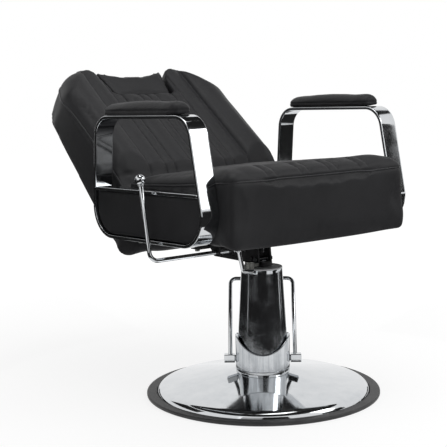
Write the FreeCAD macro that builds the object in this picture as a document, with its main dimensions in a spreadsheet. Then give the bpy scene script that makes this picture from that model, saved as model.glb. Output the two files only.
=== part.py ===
import FreeCAD, Part
import Sketcher
import math
import os
from FreeCAD import Placement, Rotation, Vector

# Reclining salon chair on a hydraulic column. Millimetres, +Z up, the sitter faces -Y.
# The origin is the centre of the base, on the floor. Left and right are the sitter's.

SIZES = (
    # Base
    ("seat_gap", 0.3, "gap of a seated soft or turned piece"),
    ("overrun", 20, "how far a cutting tool runs past what it cuts"),
    ("ring_radius", 300, "rubber ring, outer radius"),
    ("ring_lap", 12, "rubber ring, width of the ledge under the dish"),
    ("ring_show", 26, "rubber ring, width outside the dish"),
    ("ring_ledge", 6, "rubber ring, height of the ledge under the dish"),
    ("ring_tall", 9.5, "rubber ring, full height"),
    ("ring_round", 2.5, "rubber ring, bevel of its outer edges"),
    ("dish_batter", 5, "chrome dish, lean of its rim wall"),
    ("dish_rim", 16, "chrome dish, height of its rim wall"),
    ("dish_round", 12, "chrome dish, round of the rolled edge"),
    ("dish_top", 58, "chrome dish, height of its flat centre"),
    ("dish_flat", 72, "chrome dish, radius of its flat centre"),
    ("dish_bore", 40, "chrome dish, radius of the hole in its centre"),
    ("dish_wall", 2.5, "chrome dish, sheet thickness"),
    ("weight_lift", 1.5, "steel weight, gap above the floor"),
    ("weight_thick", 12, "steel weight, thickness"),
    ("weight_boss", 60, "steel weight, radius of its centre boss"),
    ("flange_radius", 69.5, "pump flange, radius"),
    ("flange_thick", 7, "pump flange, thickness"),
    ("flange_bolt_ring", 52, "pump flange, radius of its bolt circle"),
    ("flange_bolts", 4, "pump flange, number of bolts"),
    ("flange_bolt_radius", 4, "flange bolt, shank radius"),
    ("flange_bolt_length", 34, "flange bolt, shank length"),
    ("bolt_play", 0.3, "gap round a bolt's shank"),
    ("bolt_head_radius", 6.5, "cap screw, head radius"),
    ("bolt_head_tall", 7, "cap screw, head height"),
    # Pump and column
    ("pump_radius", 38, "pump body, radius"),
    ("pump_bore", 24, "pump body, radius of its bore"),
    ("pump_floor", 39, "pump body, thickness of the solid foot"),
    ("pump_tall", 250, "pump body, height"),
    ("gland_spigot", 18, "gland, depth of its spigot in the bore"),
    ("gland_head", 6, "gland, thickness of its head"),
    ("gland_radius", 36, "gland, radius of its head"),
    ("ram_radius", 20, "ram, radius"),
    ("ram_play", 0.1, "gap between the ram and its gland"),
    ("piston_tall", 14, "ram, height of the piston"),
    ("piston_lift", 6, "ram, gap under the piston when lowered"),
    ("ram_neck_radius", 9, "ram, radius of the neck that the seat turns on"),
    ("hub_thick", 12.7, "seat hub, thickness"),
    ("hub_radius", 27, "seat hub, radius"),
    ("hub_lift", 1.5, "seat hub, gap above the column cap when lowered"),
    ("retainer_radius", 11.5, "retaining washer, radius"),
    ("retainer_thick", 1.5, "retaining washer, thickness"),
    ("sleeve_top_radius", 52.8, "upper sleeve, radius at its top"),
    ("sleeve_foot_radius", 67.2, "upper sleeve, radius at its foot"),
    ("sleeve_tall", 259, "upper sleeve, height"),
    ("sleeve_wall", 1.5, "upper sleeve, wall"),
    ("collar_radius", 70, "lower collar, radius"),
    ("collar_wall", 2, "lower collar, wall"),
    ("collar_tall", 85, "lower collar, height at its tall sides"),
    ("scoop_radius", 75, "lower collar, radius of the scoop in its rim"),
    ("scoop_floor", 46, "lower collar, height of the lowest rim point"),
    ("cap_thick", 3.5, "column cap, thickness over the rim"),
    ("cap_spigot", 8, "column cap, depth of its spigot"),
    ("cap_spigot_wall", 6, "column cap, wall of its spigot"),
    ("cap_bevel", 1.6, "column cap, bevel of its edge"),
    ("cap_play", 0.6, "gap between the ram and the cap"),
    # Pump pedal
    ("pedal_turn", -40.2, "pedal, turn about the column, in degrees"),
    ("pedal_rise", 50.2, "pedal, slope when it rests, in degrees"),
    ("axle_tall", 23, "pedal axle, height over the flange"),
    ("axle_radius", 8, "pedal axle, radius"),
    ("axle_play", 0.1, "gap round the pedal axle"),
    ("axle_sleeve_play", 1.2, "gap round the axle where it leaves the covers"),
    ("block_inset", 71.5, "pedal block, distance of its inner face from the column axis"),
    ("block_wide", 28, "pedal block, width"),
    ("block_tall", 21, "pedal block, height and depth"),
    ("block_edge", 2, "pedal block, bevel of its edges"),
    ("bail_half", 83.6, "pedal bail, half the spacing of its legs"),
    ("bail_reach", 234, "pedal bail, length from the axle to its crossbar"),
    ("bail_rod", 5.2, "pedal bail, radius of the rod"),
    ("bail_bend", 16, "pedal bail, radius of its corners"),
    # Seat carrier
    ("fork_inner", 17.5, "fork plates, distance of the inner face from the middle"),
    ("fork_thick", 5, "fork plates, thickness"),
    ("fork_front", 15.5, "fork plates, foot ahead of the column axis"),
    ("fork_head_front", 8, "fork plates, head ahead of the column axis"),
    ("fork_foot_back", 40, "fork plates, end of the foot that stands on the hub"),
    ("fork_drop", 5.7, "fork plates, lower edge below the hub's top"),
    ("fork_tail", 165, "fork plates, end of the lower edge"),
    ("fork_reach", 194, "fork plates, rear end"),
    ("fork_tail_rise", 32, "fork plates, rise of the rear corner"),
    ("top_plate_thick", 6, "carrier plate, thickness"),
    ("top_plate_half", 160, "carrier plate, half the width"),
    ("top_plate_front", 95, "carrier plate, front edge ahead of the axis"),
    ("top_plate_back", 110, "carrier plate, rear edge behind the axis"),
    ("cross_bolt_radius", 3, "cross bolt, shank radius"),
    ("cross_bolt_head", 6.5, "cross bolt, head radius"),
    ("cross_bolt_head_tall", 5, "cross bolt, head thickness"),
    ("cross_bolt_set", 5, "cross bolts, distance ahead of the column axis"),
    ("cross_bolt_low", 5.3, "cross bolt, height over the hub"),
    ("cross_nut", 5, "cross bolt, radius of the nut inside"),
    ("cross_nut_tall", 5.5, "cross bolt, thickness of the nut inside"),
    ("carrier_bolt_radius", 2.5, "carrier bolt, shank radius"),
    ("carrier_bolt_head", 4.5, "carrier bolt, head radius"),
    ("carrier_bolt_head_tall", 3, "carrier bolt, head thickness"),
    ("carrier_bolt_back", 12, "carrier bolt, distance behind the axis"),
    ("carrier_bolt_lift", 6.8, "carrier bolt, height over the hub"),
    ("release_radius", 2.5, "release screw, radius"),
    ("release_lift", 21.3, "release screw, height of its foot over the hub"),
    ("release_nut", 5.5, "release screw, radius of its nut"),
    ("release_nut_tall", 5, "release screw, thickness of its nut"),
    ("release_nut_lift", 12, "release screw, height of its nut over its foot"),
    ("barrel_radius", 12, "lock barrel, radius"),
    ("barrel_tall", 18, "lock barrel, height"),
    ("barrel_out", 51, "lock barrel, distance right of the middle"),
    ("barrel_set", 13, "lock barrel, distance ahead of the axis"),
    ("barrel_lift", 1, "lock barrel, height over the column cap"),
    ("barrel_arm_wide", 14, "lock barrel, width of its arm"),
    ("barrel_arm_tall", 8, "lock barrel, height of its arm"),
    ("barrel_arm_lift", 3, "lock barrel, height of its arm over its foot"),
    # Seat frame, tilted with the arms
    ("carrier_rise", 56.3, "carrier plate, height of its underside over the hub"),
    ("rail_thick", 6, "seat frame, thickness of its flat bars"),
    ("rail_wide", 30, "seat frame, width of its flat bars"),
    ("rail_lap", 14, "cross bars, run of their ends under the arms"),
    ("rail_front", 109, "front cross bar, distance ahead of the axis"),
    ("rail_back", 120, "rear cross bar, distance behind the axis"),
    ("beam_inner", 105, "seat frame, inner face of the long bars"),
    ("beam_wide", 30, "seat frame, width of the long bars"),
    ("board_thick", 12, "seat board, thickness"),
    ("board_side_inset", 25, "seat board, inset from the cushion's sides"),
    ("board_front", 196, "seat board, front edge ahead of the axis"),
    ("board_back", 172, "seat board, rear edge behind the axis"),
    ("board_show", 1.5, "seat board, thickness that shows below the cushion"),
    ("cushion_side_gap", 4, "seat cushion, gap to the arms"),
    ("cushion_front", 222, "seat cushion, front face ahead of the axis"),
    ("cushion_back", 183, "seat cushion, rear face behind the axis"),
    ("cushion_corner", 25, "seat cushion, rounding of the front corners"),
    ("seam_rise_front", 157.9, "seat cushion, height of the top seam over the frame at the front"),
    ("seam_rise_middle", 136.9, "seat cushion, height of the top seam over the frame at the axis"),
    ("seam_rise_back", 126.9, "seat cushion, height of the top seam over the frame at the rear"),
    ("pillow_rise", 22, "seat cushion, rise of the pillow at its edge"),
    ("pillow_edge", 34, "seat cushion, width of the rising edge"),
    ("pillow_crown", 7, "seat cushion, crown across the middle"),
    ("pillow_bulge", 3, "seat cushion, swell of each channel"),
    ("welt_inner", 32, "seat and back, inner seam of the middle welt"),
    ("welt_wide", 27, "seat cushion, width of a welt"),
    ("welt_outer", 136, "seat cushion, inner seam of the outer welt"),
    # Arms
    ("arm_tilt", 1.43, "arms, rise towards the front, in degrees"),
    ("arm_rise", 15.1, "arms, height of the foot bar over the carrier plate at the axis"),
    ("arm_side_gap", 2.1, "arms, gap between their inner face and the hinge pins"),
    ("bar_wide", 52, "arms, width of the flat bar"),
    ("bar_thick", 8, "arms, thickness of the flat bar"),
    ("loop_tall", 303, "arm loop, height"),
    ("loop_foot_front", 203.5, "arm loop, lower front corner ahead of the axis"),
    ("loop_foot_back", 267.4, "arm loop, lower rear corner behind the axis"),
    ("loop_head_front", 147, "arm loop, upper front corner ahead of the axis"),
    ("loop_head_back", 237, "arm loop, upper rear corner behind the axis"),
    ("loop_foot_round", 76, "arm loop, radius of its lower corners"),
    ("loop_head_round", 58, "arm loop, radius of its upper corners"),
    ("crossbar_lift", 125.5, "arm crossbar, height of its top over the foot bar"),
    ("panel_gap", 0.5, "side panel, gap to the bars"),
    ("panel_inset", 7, "side panel, inset from the bar's outer edge"),
    ("panel_thick", 34, "side panel, thickness"),
    ("panel_round", 5, "side panel, round of its outer edge"),
    ("pad_front", 101, "arm pad, front end ahead of the axis"),
    ("pad_back", 200, "arm pad, rear end behind the axis"),
    ("pad_half", 30, "arm pad, half the width"),
    ("pad_tall", 33, "arm pad, height in the middle"),
    ("pad_side", 15, "arm pad, height of its side wall"),
    ("pad_arch", 9, "arm pad, fall of the top towards the ends"),
    ("arm_bolt_radius", 3, "arm bolt, shank radius"),
    ("arm_bolt_head", 5.5, "arm bolt, head radius"),
    ("arm_bolt_head_tall", 5, "arm bolt, head height"),
    ("arm_bolt_set", 7, "arm bolt, distance out from the arm's inner face"),
    ("arm_bolt_play", 0.6, "gap round the arm bolt in the bar"),
    # Recline lever
    ("lever_rod", 5.3, "lever, radius of the rod"),
    ("lever_side", 17, "lever, distance of the handle out from the arm"),
    ("lever_inner", 82, "lever, inner bend, distance from the middle"),
    ("lever_set", 8, "lever, distance of its axis ahead of the column axis"),
    ("lever_drop", 17, "lever, drop of its axis below the carrier plate"),
    ("lever_handle", 191, "lever, height of the ball over its axis"),
    ("lever_lean", 34, "lever, lean of the handle to the rear"),
    ("lever_crank_in", 14, "lever, inward run of the crank"),
    ("lever_crank_drop", 58.5, "lever, drop of the crank"),
    ("lever_tip_in", 14, "lever, inward run of the tip"),
    ("lever_tip_set", 25, "lever, forward run of the tip"),
    ("lever_bend", 22, "lever, radius of the outer bend"),
    ("lever_small_bend", 12, "lever, radius of the inner bends"),
    ("lever_tip_bend", 8, "lever, radius of the bend at its tip"),
    ("ball_radius", 12.5, "lever, radius of the ball"),
    ("clip_wide", 6, "lever clip, width along the rod"),
    ("clip_deep", 20, "lever clip, depth across the rod"),
    ("clip_lip", 4, "lever clip, material under the rod"),
    ("clip_play", 0.1, "lever clip, gap round the rod"),
    ("clip_outer_at", 150, "outer lever clip, distance from the middle"),
    ("clip_inner_at", 108, "inner lever clip, distance from the middle"),
    # Recline hinge
    ("hinge_back", 206, "recline hinge, distance behind the axis"),
    ("hinge_rise", 80.9, "recline hinge, height over the arms' foot bar"),
    ("tube_radius", 12, "hinge tube, radius"),
    ("tube_bore", 8, "hinge tube, radius of its bore"),
    ("hinge_plate_thick", 4, "hinge plates, thickness"),
    ("hinge_eye", 18, "hinge plates, radius of the eye"),
    ("hinge_side_gap", 1, "gap between the two plates of a hinge"),
    ("hinge_pin_play", 0.1, "gap round the hinge pin"),
    ("hinge_pin_head", 11, "hinge pin, head radius"),
    ("hinge_pin_head_tall", 2.6, "hinge pin, head thickness"),
    ("hinge_pin_in", 20, "hinge pin, depth in the tube"),
    ("bracket_front", 104, "seat bracket, front end behind the axis"),
    ("bracket_deep", 9, "seat bracket, depth of its foot"),
    ("bracket_bend", 36, "seat bracket, height of its rear corner over the foot"),
    ("strap_long", 96, "back strap, length up the back"),
    ("strap_wide", 30, "back strap, width"),
    ("lug_set", 10, "recline lug, distance of the eye ahead of the hinge"),
    ("lug_drop", 120, "recline lug, drop of the eye below the hinge"),
    ("lug_thick", 6, "recline lug, thickness"),
    ("lug_wide", 24, "recline lug, width"),
    ("lug_eye", 14.5, "recline lug, radius of its eye"),
    ("lug_play", 5.3, "gap round the pin in the lug's eye"),
    # Locking gas spring
    ("gas_pivot_back", 40, "gas spring, front pivot behind the axis"),
    ("gas_pivot_drop", 32, "gas spring, drop of the front pivot below the carrier plate"),
    ("gas_eye", 9, "gas spring, radius of its front eye"),
    ("gas_eye_thick", 14, "gas spring, thickness of its front eye"),
    ("gas_pin", 5, "gas spring, radius of the front pin"),
    ("gas_pin_play", 0.1, "gas spring, gap round the front pin"),
    ("gas_tube", 11, "gas spring, radius of the cylinder"),
    ("gas_tube_wall", 2, "gas spring, wall of the cylinder"),
    ("gas_tube_long", 112, "gas spring, length of the cylinder"),
    ("gas_rod", 4, "gas spring, radius of the rod"),
    ("gas_rod_play", 0.1, "gas spring, gap round the rod"),
    ("gas_piston_long", 10, "gas spring, length of the piston"),
    ("gas_cap", 8, "gas spring, thickness of the end walls"),
    ("clevis_long", 26, "gas spring, length of the clevis ahead of the pin"),
    ("clevis_lip", 8, "gas spring, length of the clevis behind the pin"),
    ("clevis_throat", 18, "gas spring, room ahead of the pin in the clevis"),
    ("clevis_half", 12, "gas spring, half the width of the clevis"),
    ("clevis_tall", 14, "gas spring, height of the clevis"),
    ("clevis_gap", 1, "gap between the clevis and the lug"),
    # Backrest, in its own plane: run up the back, half widths across, depth behind the face
    ("back_behind", 151, "back, distance of its face's datum behind the hinge"),
    ("back_rise", 146, "back, height of its face's datum over the hinge"),
    ("back_slope", 37, "back, slope of its face over the horizontal, in degrees"),
    ("back_half", 267, "back, half the width"),
    ("back_foot_inset", 9, "back, inset of its sides at the foot"),
    ("shoulder_start", 150, "back, where the shoulders begin"),
    ("shoulder_mid_inset", 22, "back, inset of its sides in the middle of the shoulder"),
    ("shoulder_mid", 241, "back, run at the middle of the shoulder"),
    ("shoulder_top_inset", 95, "back, inset of its sides at the top of the shoulder"),
    ("shoulder_top", 288, "back, run at the top of the shoulder"),
    ("shoulder_lip_inset", 117, "back, inset of its sides where the top turns in"),
    ("shoulder_round", 58, "back, round of its front edge over the shoulders"),
    ("shoulder_side_round", 24, "back, round of its front edge where the shoulders begin"),
    ("notch_top_inset", 139, "back, inset of the notch's mouth from the sides"),
    ("notch_top", 279, "back, run of the notch's mouth"),
    ("notch_mid_inset", 156, "back, inset of the notch's walls halfway down"),
    ("notch_mid", 235, "back, run at the notch's middle"),
    ("notch_foot_inset", 160, "back, inset of the notch's foot from the sides"),
    ("notch_foot", 181, "back, run of the notch's foot"),
    ("notch_round", 17, "back, rounding of the notch's corners"),
    ("wing_wide", 100, "back, width of a wing outside its seam"),
    ("wing_rise", 27, "back, height of the wings' crown over the datum"),
    ("side_fall", 5, "back, depth of the side seam"),
    ("seam_lift", 8, "back, height of the seams over the datum"),
    ("panel_rise", 5, "back, crown of the widest channel"),
    ("back_welt_mid", 28, "back, seam beside the middle channels"),
    ("back_welt_outer", 85, "back, inner seam of the outer welt"),
    ("back_welt_edge", 115, "back, outer seam of the outer welt"),
    ("face_fall", 80, "back, run below the datum where the face starts to fall away"),
    ("face_crest", 28, "back, height of the face's envelope over the datum"),
    ("face_mid", 112, "back, run below the datum in the middle of the fall"),
    ("face_mid_lift", 16, "back, height of the face in the middle of the fall"),
    ("face_end", 140, "back, run below the datum where the face turns down"),
    ("face_end_depth", 3, "back, depth of the face where it turns down"),
    ("crease_run", 168, "back, run below the datum of the crease"),
    ("crease_depth", 12, "back, depth of the crease"),
    ("heel_round", 16.7, "back, round over the hinge tube"),
    ("heel_run", 245, "back, run below the datum of the heel"),
    ("heel_depth", 48, "back, depth of the heel"),
    ("lobe_run", 293, "back, run below the datum of the lower lobe"),
    ("lobe_depth", 111, "back, depth of the lower lobe's front"),
    ("lobe_round", 4, "back, fall of the lobe's rounded edge"),
    ("lobe_back_run", 270, "back, run below the datum of the lobe's rear"),
    ("lobe_back_depth", 148, "back, depth of the lobe's rear"),
    ("rear_foot_run", 199, "back, run below the datum where the rear face starts"),
    ("rear_foot_depth", 161.5, "back, depth of the rear face's foot"),
    ("rear_head_run", 268, "back, run up of the rear face's head"),
    ("rear_head_depth", 83, "back, depth of the rear face's head"),
    ("head_round_depth", 45, "back, depth where the top end turns to the rear"),
    ("head_round", 35, "back, round of the top edge"),
    ("panel_board", 12, "back board, thickness"),
    ("panel_board_inset", 22, "back board, inset from the sides"),
    # Headrest
    ("headrest_foot", 184, "headrest, run of its foot"),
    ("headrest_foot_gap", 12, "headrest, gap beside its foot in the notch"),
    ("headrest_top", 277, "headrest, run of its top corners"),
    ("headrest_top_gap", 20, "headrest, gap beside its top in the notch"),
    ("headrest_dip", 264, "headrest, run of the middle of its hollow top edge"),
    ("headrest_face", 5, "headrest, height of its face's middle over the datum"),
    ("headrest_side", 2, "headrest, height of its face's sides over the datum"),
    ("headrest_rear", 76, "headrest, depth of its rear"),
    ("headrest_round", 14, "headrest, rounding of the lower corners"),
    ("post_radius", 5, "headrest post, radius"),
    ("post_half", 45, "headrest posts, half the spacing"),
    ("post_depth", 50, "headrest posts, depth behind the face"),
    ("post_long", 120, "headrest posts, length"),
    ("guide_wall", 4, "headrest guide, wall"),
    ("guide_long", 50, "headrest guide, length"),
    ("guide_play", 0.1, "headrest guide, gap round the post"),
    ("post_room", 12, "headrest posts, free depth below their ends"),
)

# Sizes that follow from the ones above, so that pieces stay on what carries them
FOLLOWING = (
    ("dish_radius", "ring_radius - ring_show", "chrome dish, radius at its rim"),
    ("ring_inner", "dish_radius - ring_lap", "rubber ring, inner radius"),
    ("hub_top", "dish_top + flange_thick + sleeve_tall + cap_thick + hub_lift + hub_thick",
     "seat hub, height of its top"),
    ("carrier_lift", "hub_top + carrier_rise", "carrier plate, height of its underside"),
    ("arm_lift", "carrier_lift + top_plate_thick + arm_rise", "arms, height of the foot bar at the column axis"),
    ("arm_inner", "back_half + seat_gap + hinge_plate_thick * 2 + hinge_side_gap + hinge_pin_head_tall"
     " + arm_side_gap", "arms, inner face of the bars"),
    ("cushion_half", "arm_inner - cushion_side_gap", "seat cushion, half the width"),
    ("board_half", "cushion_half - board_side_inset", "seat board, half the width"),
    ("piping_front", "arm_lift + seam_rise_front", "seat cushion, height of the top seam at the front"),
    ("piping_middle", "arm_lift + seam_rise_middle", "seat cushion, height of the top seam at the axis"),
    ("piping_back", "arm_lift + seam_rise_back", "seat cushion, height of the top seam at the rear"),
    ("lever_out", "arm_inner + bar_wide + lever_side", "lever, distance of the handle from the middle"),
    ("lever_lift", "carrier_lift - lever_drop", "lever, height of its axis"),
    ("hinge_lift", "arm_lift + hinge_rise", "recline hinge, height"),
    ("lug_lift", "hinge_lift - lug_drop", "recline lug, height of the eye"),
    ("lug_back", "hinge_back - lug_set", "recline lug, eye behind the axis"),
    ("gas_pivot_lift", "carrier_lift - gas_pivot_drop", "gas spring, height of the front pivot"),
    ("back_set", "hinge_back + back_behind", "back, distance of its face's datum behind the axis"),
    ("back_lift", "hinge_lift + back_rise", "back, height of its face's datum"),
    ("back_foot_half", "back_half - back_foot_inset", "back, half the width at its foot"),
    ("shoulder_mid_half", "back_half - shoulder_mid_inset", "back, half width in the middle of the shoulder"),
    ("shoulder_top_half", "back_half - shoulder_top_inset", "back, half width at the top of the shoulder"),
    ("shoulder_lip_half", "back_half - shoulder_lip_inset", "back, half width where the top turns in"),
    ("wing_seam", "back_half - wing_wide", "back, seam between wing and middle"),
    ("notch_top_half", "back_half - notch_top_inset", "back, half width of the notch at its mouth"),
    ("notch_mid_half", "back_half - notch_mid_inset", "back, half width of the notch halfway down"),
    ("notch_foot_half", "back_half - notch_foot_inset", "back, half width of the notch at its foot"),
    ("headrest_foot_half", "notch_foot_half - headrest_foot_gap", "headrest, half width at its foot"),
    ("headrest_top_half", "notch_top_half - headrest_top_gap", "headrest, half width at its top"),
)

os.makedirs("parts", exist_ok=True)
doc = FreeCAD.newDocument("salon_chair")
sheet = doc.addObject("Spreadsheet::Sheet", "dims")
for row, (alias, number, meaning) in enumerate(SIZES, start=1):
    sheet.set(f"A{row}", meaning)
    sheet.set(f"B{row}", str(number))
    sheet.setAlias(f"B{row}", alias)
for row, (alias, formula, meaning) in enumerate(FOLLOWING, start=len(SIZES) + 1):
    sheet.set(f"A{row}", meaning)
    sheet.set(f"B{row}", f"={formula}")
    sheet.setAlias(f"B{row}", alias)
doc.recompute()


class Size:
    """A length from the sheet: its number now and the expression that keeps it bound."""

    def __init__(self, value, text):
        self.value = value
        self.text = text

    def combine(self, other, sign, value):
        """Return the size made of this one, a sign and another."""
        return Size(value, f"({self.text} {sign} {other.text})")

    def __add__(self, other):
        return self.combine(other, "+", self.value + other.value)

    def __sub__(self, other):
        return self.combine(other, "-", self.value - other.value)

    def __neg__(self):
        return Size(-self.value, f"(0 - {self.text})")

    def half(self):
        """Return half of this size."""
        return Size(self.value / 2, f"({self.text} / 2)")

    def twice(self):
        """Return twice this size."""
        return Size(self.value * 2, f"({self.text} * 2)")


class Bound:
    """The sheet's sizes, one attribute for each alias."""

    def __getattr__(self, alias):
        return Size(float(sheet.get(alias)), f"dims.{alias}")


class Plain:
    """The sheet's numbers, one attribute for each alias."""

    def __getattr__(self, alias):
        return float(sheet.get(alias))


at = Bound()
mm = Plain()
ZERO = Size(0.0, "0")
PIECES = {}


def finish(name, item):
    """Give a sub-part its name and list it for export."""
    item.Label = name
    PIECES[name] = item
    return item


def bind(item, **sizes):
    """Tie an object's properties to sizes of the sheet."""
    for name, size in sizes.items():
        item.setExpression(name.replace("__", "."), size.text)
    return item


def place(item, x=ZERO, y=ZERO, z=ZERO):
    """Tie an object's position to sizes of the sheet."""
    bind(item, Placement__Base__x=x, Placement__Base__y=y, Placement__Base__z=z)
    return item


def cylinder(name, radius, height, x=ZERO, y=ZERO, z=ZERO, rotation=None):
    """A Part cylinder whose sizes follow the sheet."""
    item = doc.addObject("Part::Cylinder", name)
    if rotation:
        item.Placement = Placement(Vector(), rotation)
    bind(item, Radius=radius, Height=height)
    return place(item, x, y, z)


def box(name, length, width, height, x=ZERO, y=ZERO, z=ZERO):
    """A Part box whose sizes follow the sheet."""
    item = doc.addObject("Part::Box", name)
    bind(item, Length=length, Width=width, Height=height)
    return place(item, x, y, z)


def cut(name, base, *tools):
    """The base less each tool in turn."""
    shaped = base
    for number, tool in enumerate(tools, start=1):
        item = doc.addObject("Part::Cut", f"{name}_cut_{number}")
        item.Base = shaped
        item.Tool = tool
        shaped = item
    return shaped


def join(name, *pieces):
    """The pieces fused into one solid."""
    item = doc.addObject("Part::MultiFuse", f"{name}_fused")
    item.Shapes = list(pieces)
    return item


def origin_plane(body, role):
    """Return one of a body's own origin planes."""
    return next(item for item in body.Origin.OriginFeatures if item.Role == role)


def pin_vertex(sketch, line, size, axis):
    """Hold the start of a line at a signed distance from the sketch's origin along an axis."""
    kind = "DistanceX" if axis == 0 else "DistanceY"
    if abs(size.value) < 1e-9:
        sketch.addConstraint(Sketcher.Constraint("PointOnObject", line, 1, -2 if axis == 0 else -1))
        return
    ends = (-1, 1, line, 1) if size.value > 0 else (line, 1, -1, 1)
    index = sketch.addConstraint(Sketcher.Constraint(kind, *ends, abs(size.value)))
    shown = size if size.value > 0 else -size
    sketch.setExpression(f"Constraints[{index}]", shown.text)


def outline(body, role, corners):
    """A closed straight-sided sketch whose corners follow the sheet."""
    sketch = body.newObject("Sketcher::SketchObject", f"{body.Name}_sketch")
    sketch.AttachmentSupport = (origin_plane(body, role), "")
    sketch.MapMode = "FlatFace"
    spots = [Vector(u.value, v.value, 0) for u, v in corners]
    lines = []
    for start, end in zip(spots, spots[1:] + spots[:1]):
        lines.append(sketch.addGeometry(Part.LineSegment(start, end), False))
    for line, follower in zip(lines, lines[1:] + lines[:1]):
        sketch.addConstraint(Sketcher.Constraint("Coincident", line, 2, follower, 1))
    for line, (u, v) in zip(lines, corners):
        pin_vertex(sketch, line, u, 0)
        pin_vertex(sketch, line, v, 1)
    return sketch


def turned(name, corners):
    """A body turned about the column axis from radius and height corners."""
    body = doc.addObject("PartDesign::Body", name)
    sketch = outline(body, "XZ_Plane", corners)
    turn = body.newObject("PartDesign::Revolution", f"{name}_turn")
    turn.Profile = sketch
    turn.ReferenceAxis = (sketch, ["V_Axis"])
    turn.Angle = 360
    sketch.Visibility = False
    doc.recompute()
    return body


def plate(name, role, corners, thick, offset=ZERO):
    """A body padded from straight-sided corners, starting at an offset along its normal."""
    body = doc.addObject("PartDesign::Body", name)
    sketch = outline(body, role, corners)
    pad = body.newObject("PartDesign::Pad", f"{name}_pad")
    pad.Profile = sketch
    bind(pad, Length=thick)
    sketch.Visibility = False
    if role == "YZ_Plane":
        place(body, x=offset)
    else:
        place(body, z=offset)
    doc.recompute()
    return body


def soften(body, radius, test):
    """Fillet the edges of a body's tip that pass the test."""
    tip = body.Tip
    names = [f"Edge{n}" for n, edge in enumerate(tip.Shape.Edges, start=1) if test(edge)]
    fillet = body.newObject("PartDesign::Fillet", f"{body.Name}_round")
    fillet.Base = (tip, names)
    bind(fillet, Radius=radius)
    doc.recompute()
    return fillet


def formed(name, shape, placement=None):
    """A sub-part whose shape is worked out from the sheet's numbers."""
    item = doc.addObject("Part::Feature", name)
    item.Shape = shape
    if placement:
        item.Placement = placement.multiply(shape.Placement)
    return item


def face_of(points_and_arcs):
    """A face from a closed run of corners; a pair of points stands for an arc's middle and end."""
    edges = []
    spot = points_and_arcs[0]
    for entry in list(points_and_arcs[1:]) + [points_and_arcs[0]]:
        if isinstance(entry, tuple):
            middle, end = entry
            edges.append(Part.Arc(spot, middle, end).toShape())
            spot = end
        else:
            if (entry - spot).Length > 1e-6:
                edges.append(Part.LineSegment(spot, entry).toShape())
            spot = entry
    return Part.Face(Part.Wire(edges))


def rounded(corners, radii):
    """A closed wire through corners, each rounded by its radius."""
    count = len(corners)
    edges = []
    starts = []
    ends = []
    arcs = []
    for index, corner in enumerate(corners):
        before = (corners[index - 1] - corner).normalize()
        after = (corners[(index + 1) % count] - corner).normalize()
        spread = before.getAngle(after)
        reach = radii[index] / math.tan(spread / 2)
        inward = (before + after).normalize()
        centre = corner + inward * (radii[index] / math.sin(spread / 2))
        starts.append(corner + before * reach)
        ends.append(corner + after * reach)
        arcs.append(centre - inward * radii[index])
    for index in range(count):
        edges.append(Part.Arc(starts[index], arcs[index], ends[index]).toShape())
        edges.append(Part.LineSegment(ends[index], starts[(index + 1) % count]).toShape())
    return Part.Wire(edges)


def rod(points, bends, radius):
    """A round rod along straight runs joined by bends."""
    edges = []
    spot = points[0]
    for index in range(1, len(points) - 1):
        corner = points[index]
        before = (points[index - 1] - corner).normalize()
        after = (points[index + 1] - corner).normalize()
        spread = before.getAngle(after)
        reach = bends[index - 1] / math.tan(spread / 2)
        inward = (before + after).normalize()
        centre = corner + inward * (bends[index - 1] / math.sin(spread / 2))
        start = corner + before * reach
        end = corner + after * reach
        edges.append(Part.LineSegment(spot, start).toShape())
        edges.append(Part.Arc(start, centre - inward * bends[index - 1], end).toShape())
        spot = end
    edges.append(Part.LineSegment(spot, points[-1]).toShape())
    circle = Part.Circle(points[0], points[1] - points[0], radius).toShape()
    return Part.Wire(edges).makePipeShell([Part.Wire(circle)], True, False)


# Base: rubber ring, steel weight, chrome dish

FLOOR = ZERO
DISH_SHOULDER = at.dish_radius - at.dish_batter
DISH_SHOULDER_TALL = at.ring_ledge + at.dish_rim
FLANGE_TOP = at.dish_top + at.flange_thick

ring = turned("base_ring", [
    (at.ring_inner, FLOOR),
    (at.ring_radius - at.ring_round, FLOOR),
    (at.ring_radius, at.ring_round),
    (at.ring_radius, at.ring_tall - at.ring_round),
    (at.ring_radius - at.ring_round, at.ring_tall),
    (at.dish_radius + at.seat_gap, at.ring_tall),
    (at.dish_radius + at.seat_gap, at.ring_ledge),
    (at.ring_inner, at.ring_ledge),
])
finish("base_ring", ring)

dish_blank = turned("base_dish_blank", [
    (at.dish_radius, at.ring_ledge),
    (DISH_SHOULDER, DISH_SHOULDER_TALL),
    (at.dish_flat, at.dish_top),
    (at.dish_bore, at.dish_top),
    (at.dish_bore, at.dish_top - at.dish_wall),
    (at.dish_flat, at.dish_top - at.dish_wall),
    (DISH_SHOULDER - at.dish_wall, DISH_SHOULDER_TALL - at.dish_wall),
    (at.dish_radius - at.dish_wall, at.ring_ledge),
])


def ring_edge_at(radius, height):
    """Return a test for the circular edge at a radius and height."""
    def test(edge):
        if not isinstance(edge.Curve, Part.Circle):
            return False
        return abs(edge.Curve.Radius - radius) < 0.01 and abs(edge.Curve.Center.z - height) < 0.01
    return test


soften(dish_blank, at.dish_round, ring_edge_at(DISH_SHOULDER.value, DISH_SHOULDER_TALL.value))
soften(dish_blank, at.dish_round - at.dish_wall,
       ring_edge_at((DISH_SHOULDER - at.dish_wall).value, (DISH_SHOULDER_TALL - at.dish_wall).value))

weight_blank = turned("base_weight_blank", [
    (ZERO, at.weight_lift),
    (at.ring_inner - at.seat_gap, at.weight_lift),
    (at.ring_inner - at.seat_gap, at.weight_lift + at.weight_thick),
    (at.weight_boss, at.weight_lift + at.weight_thick),
    (at.weight_boss, at.dish_top - at.dish_wall),
    (ZERO, at.dish_top - at.dish_wall),
])

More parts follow.
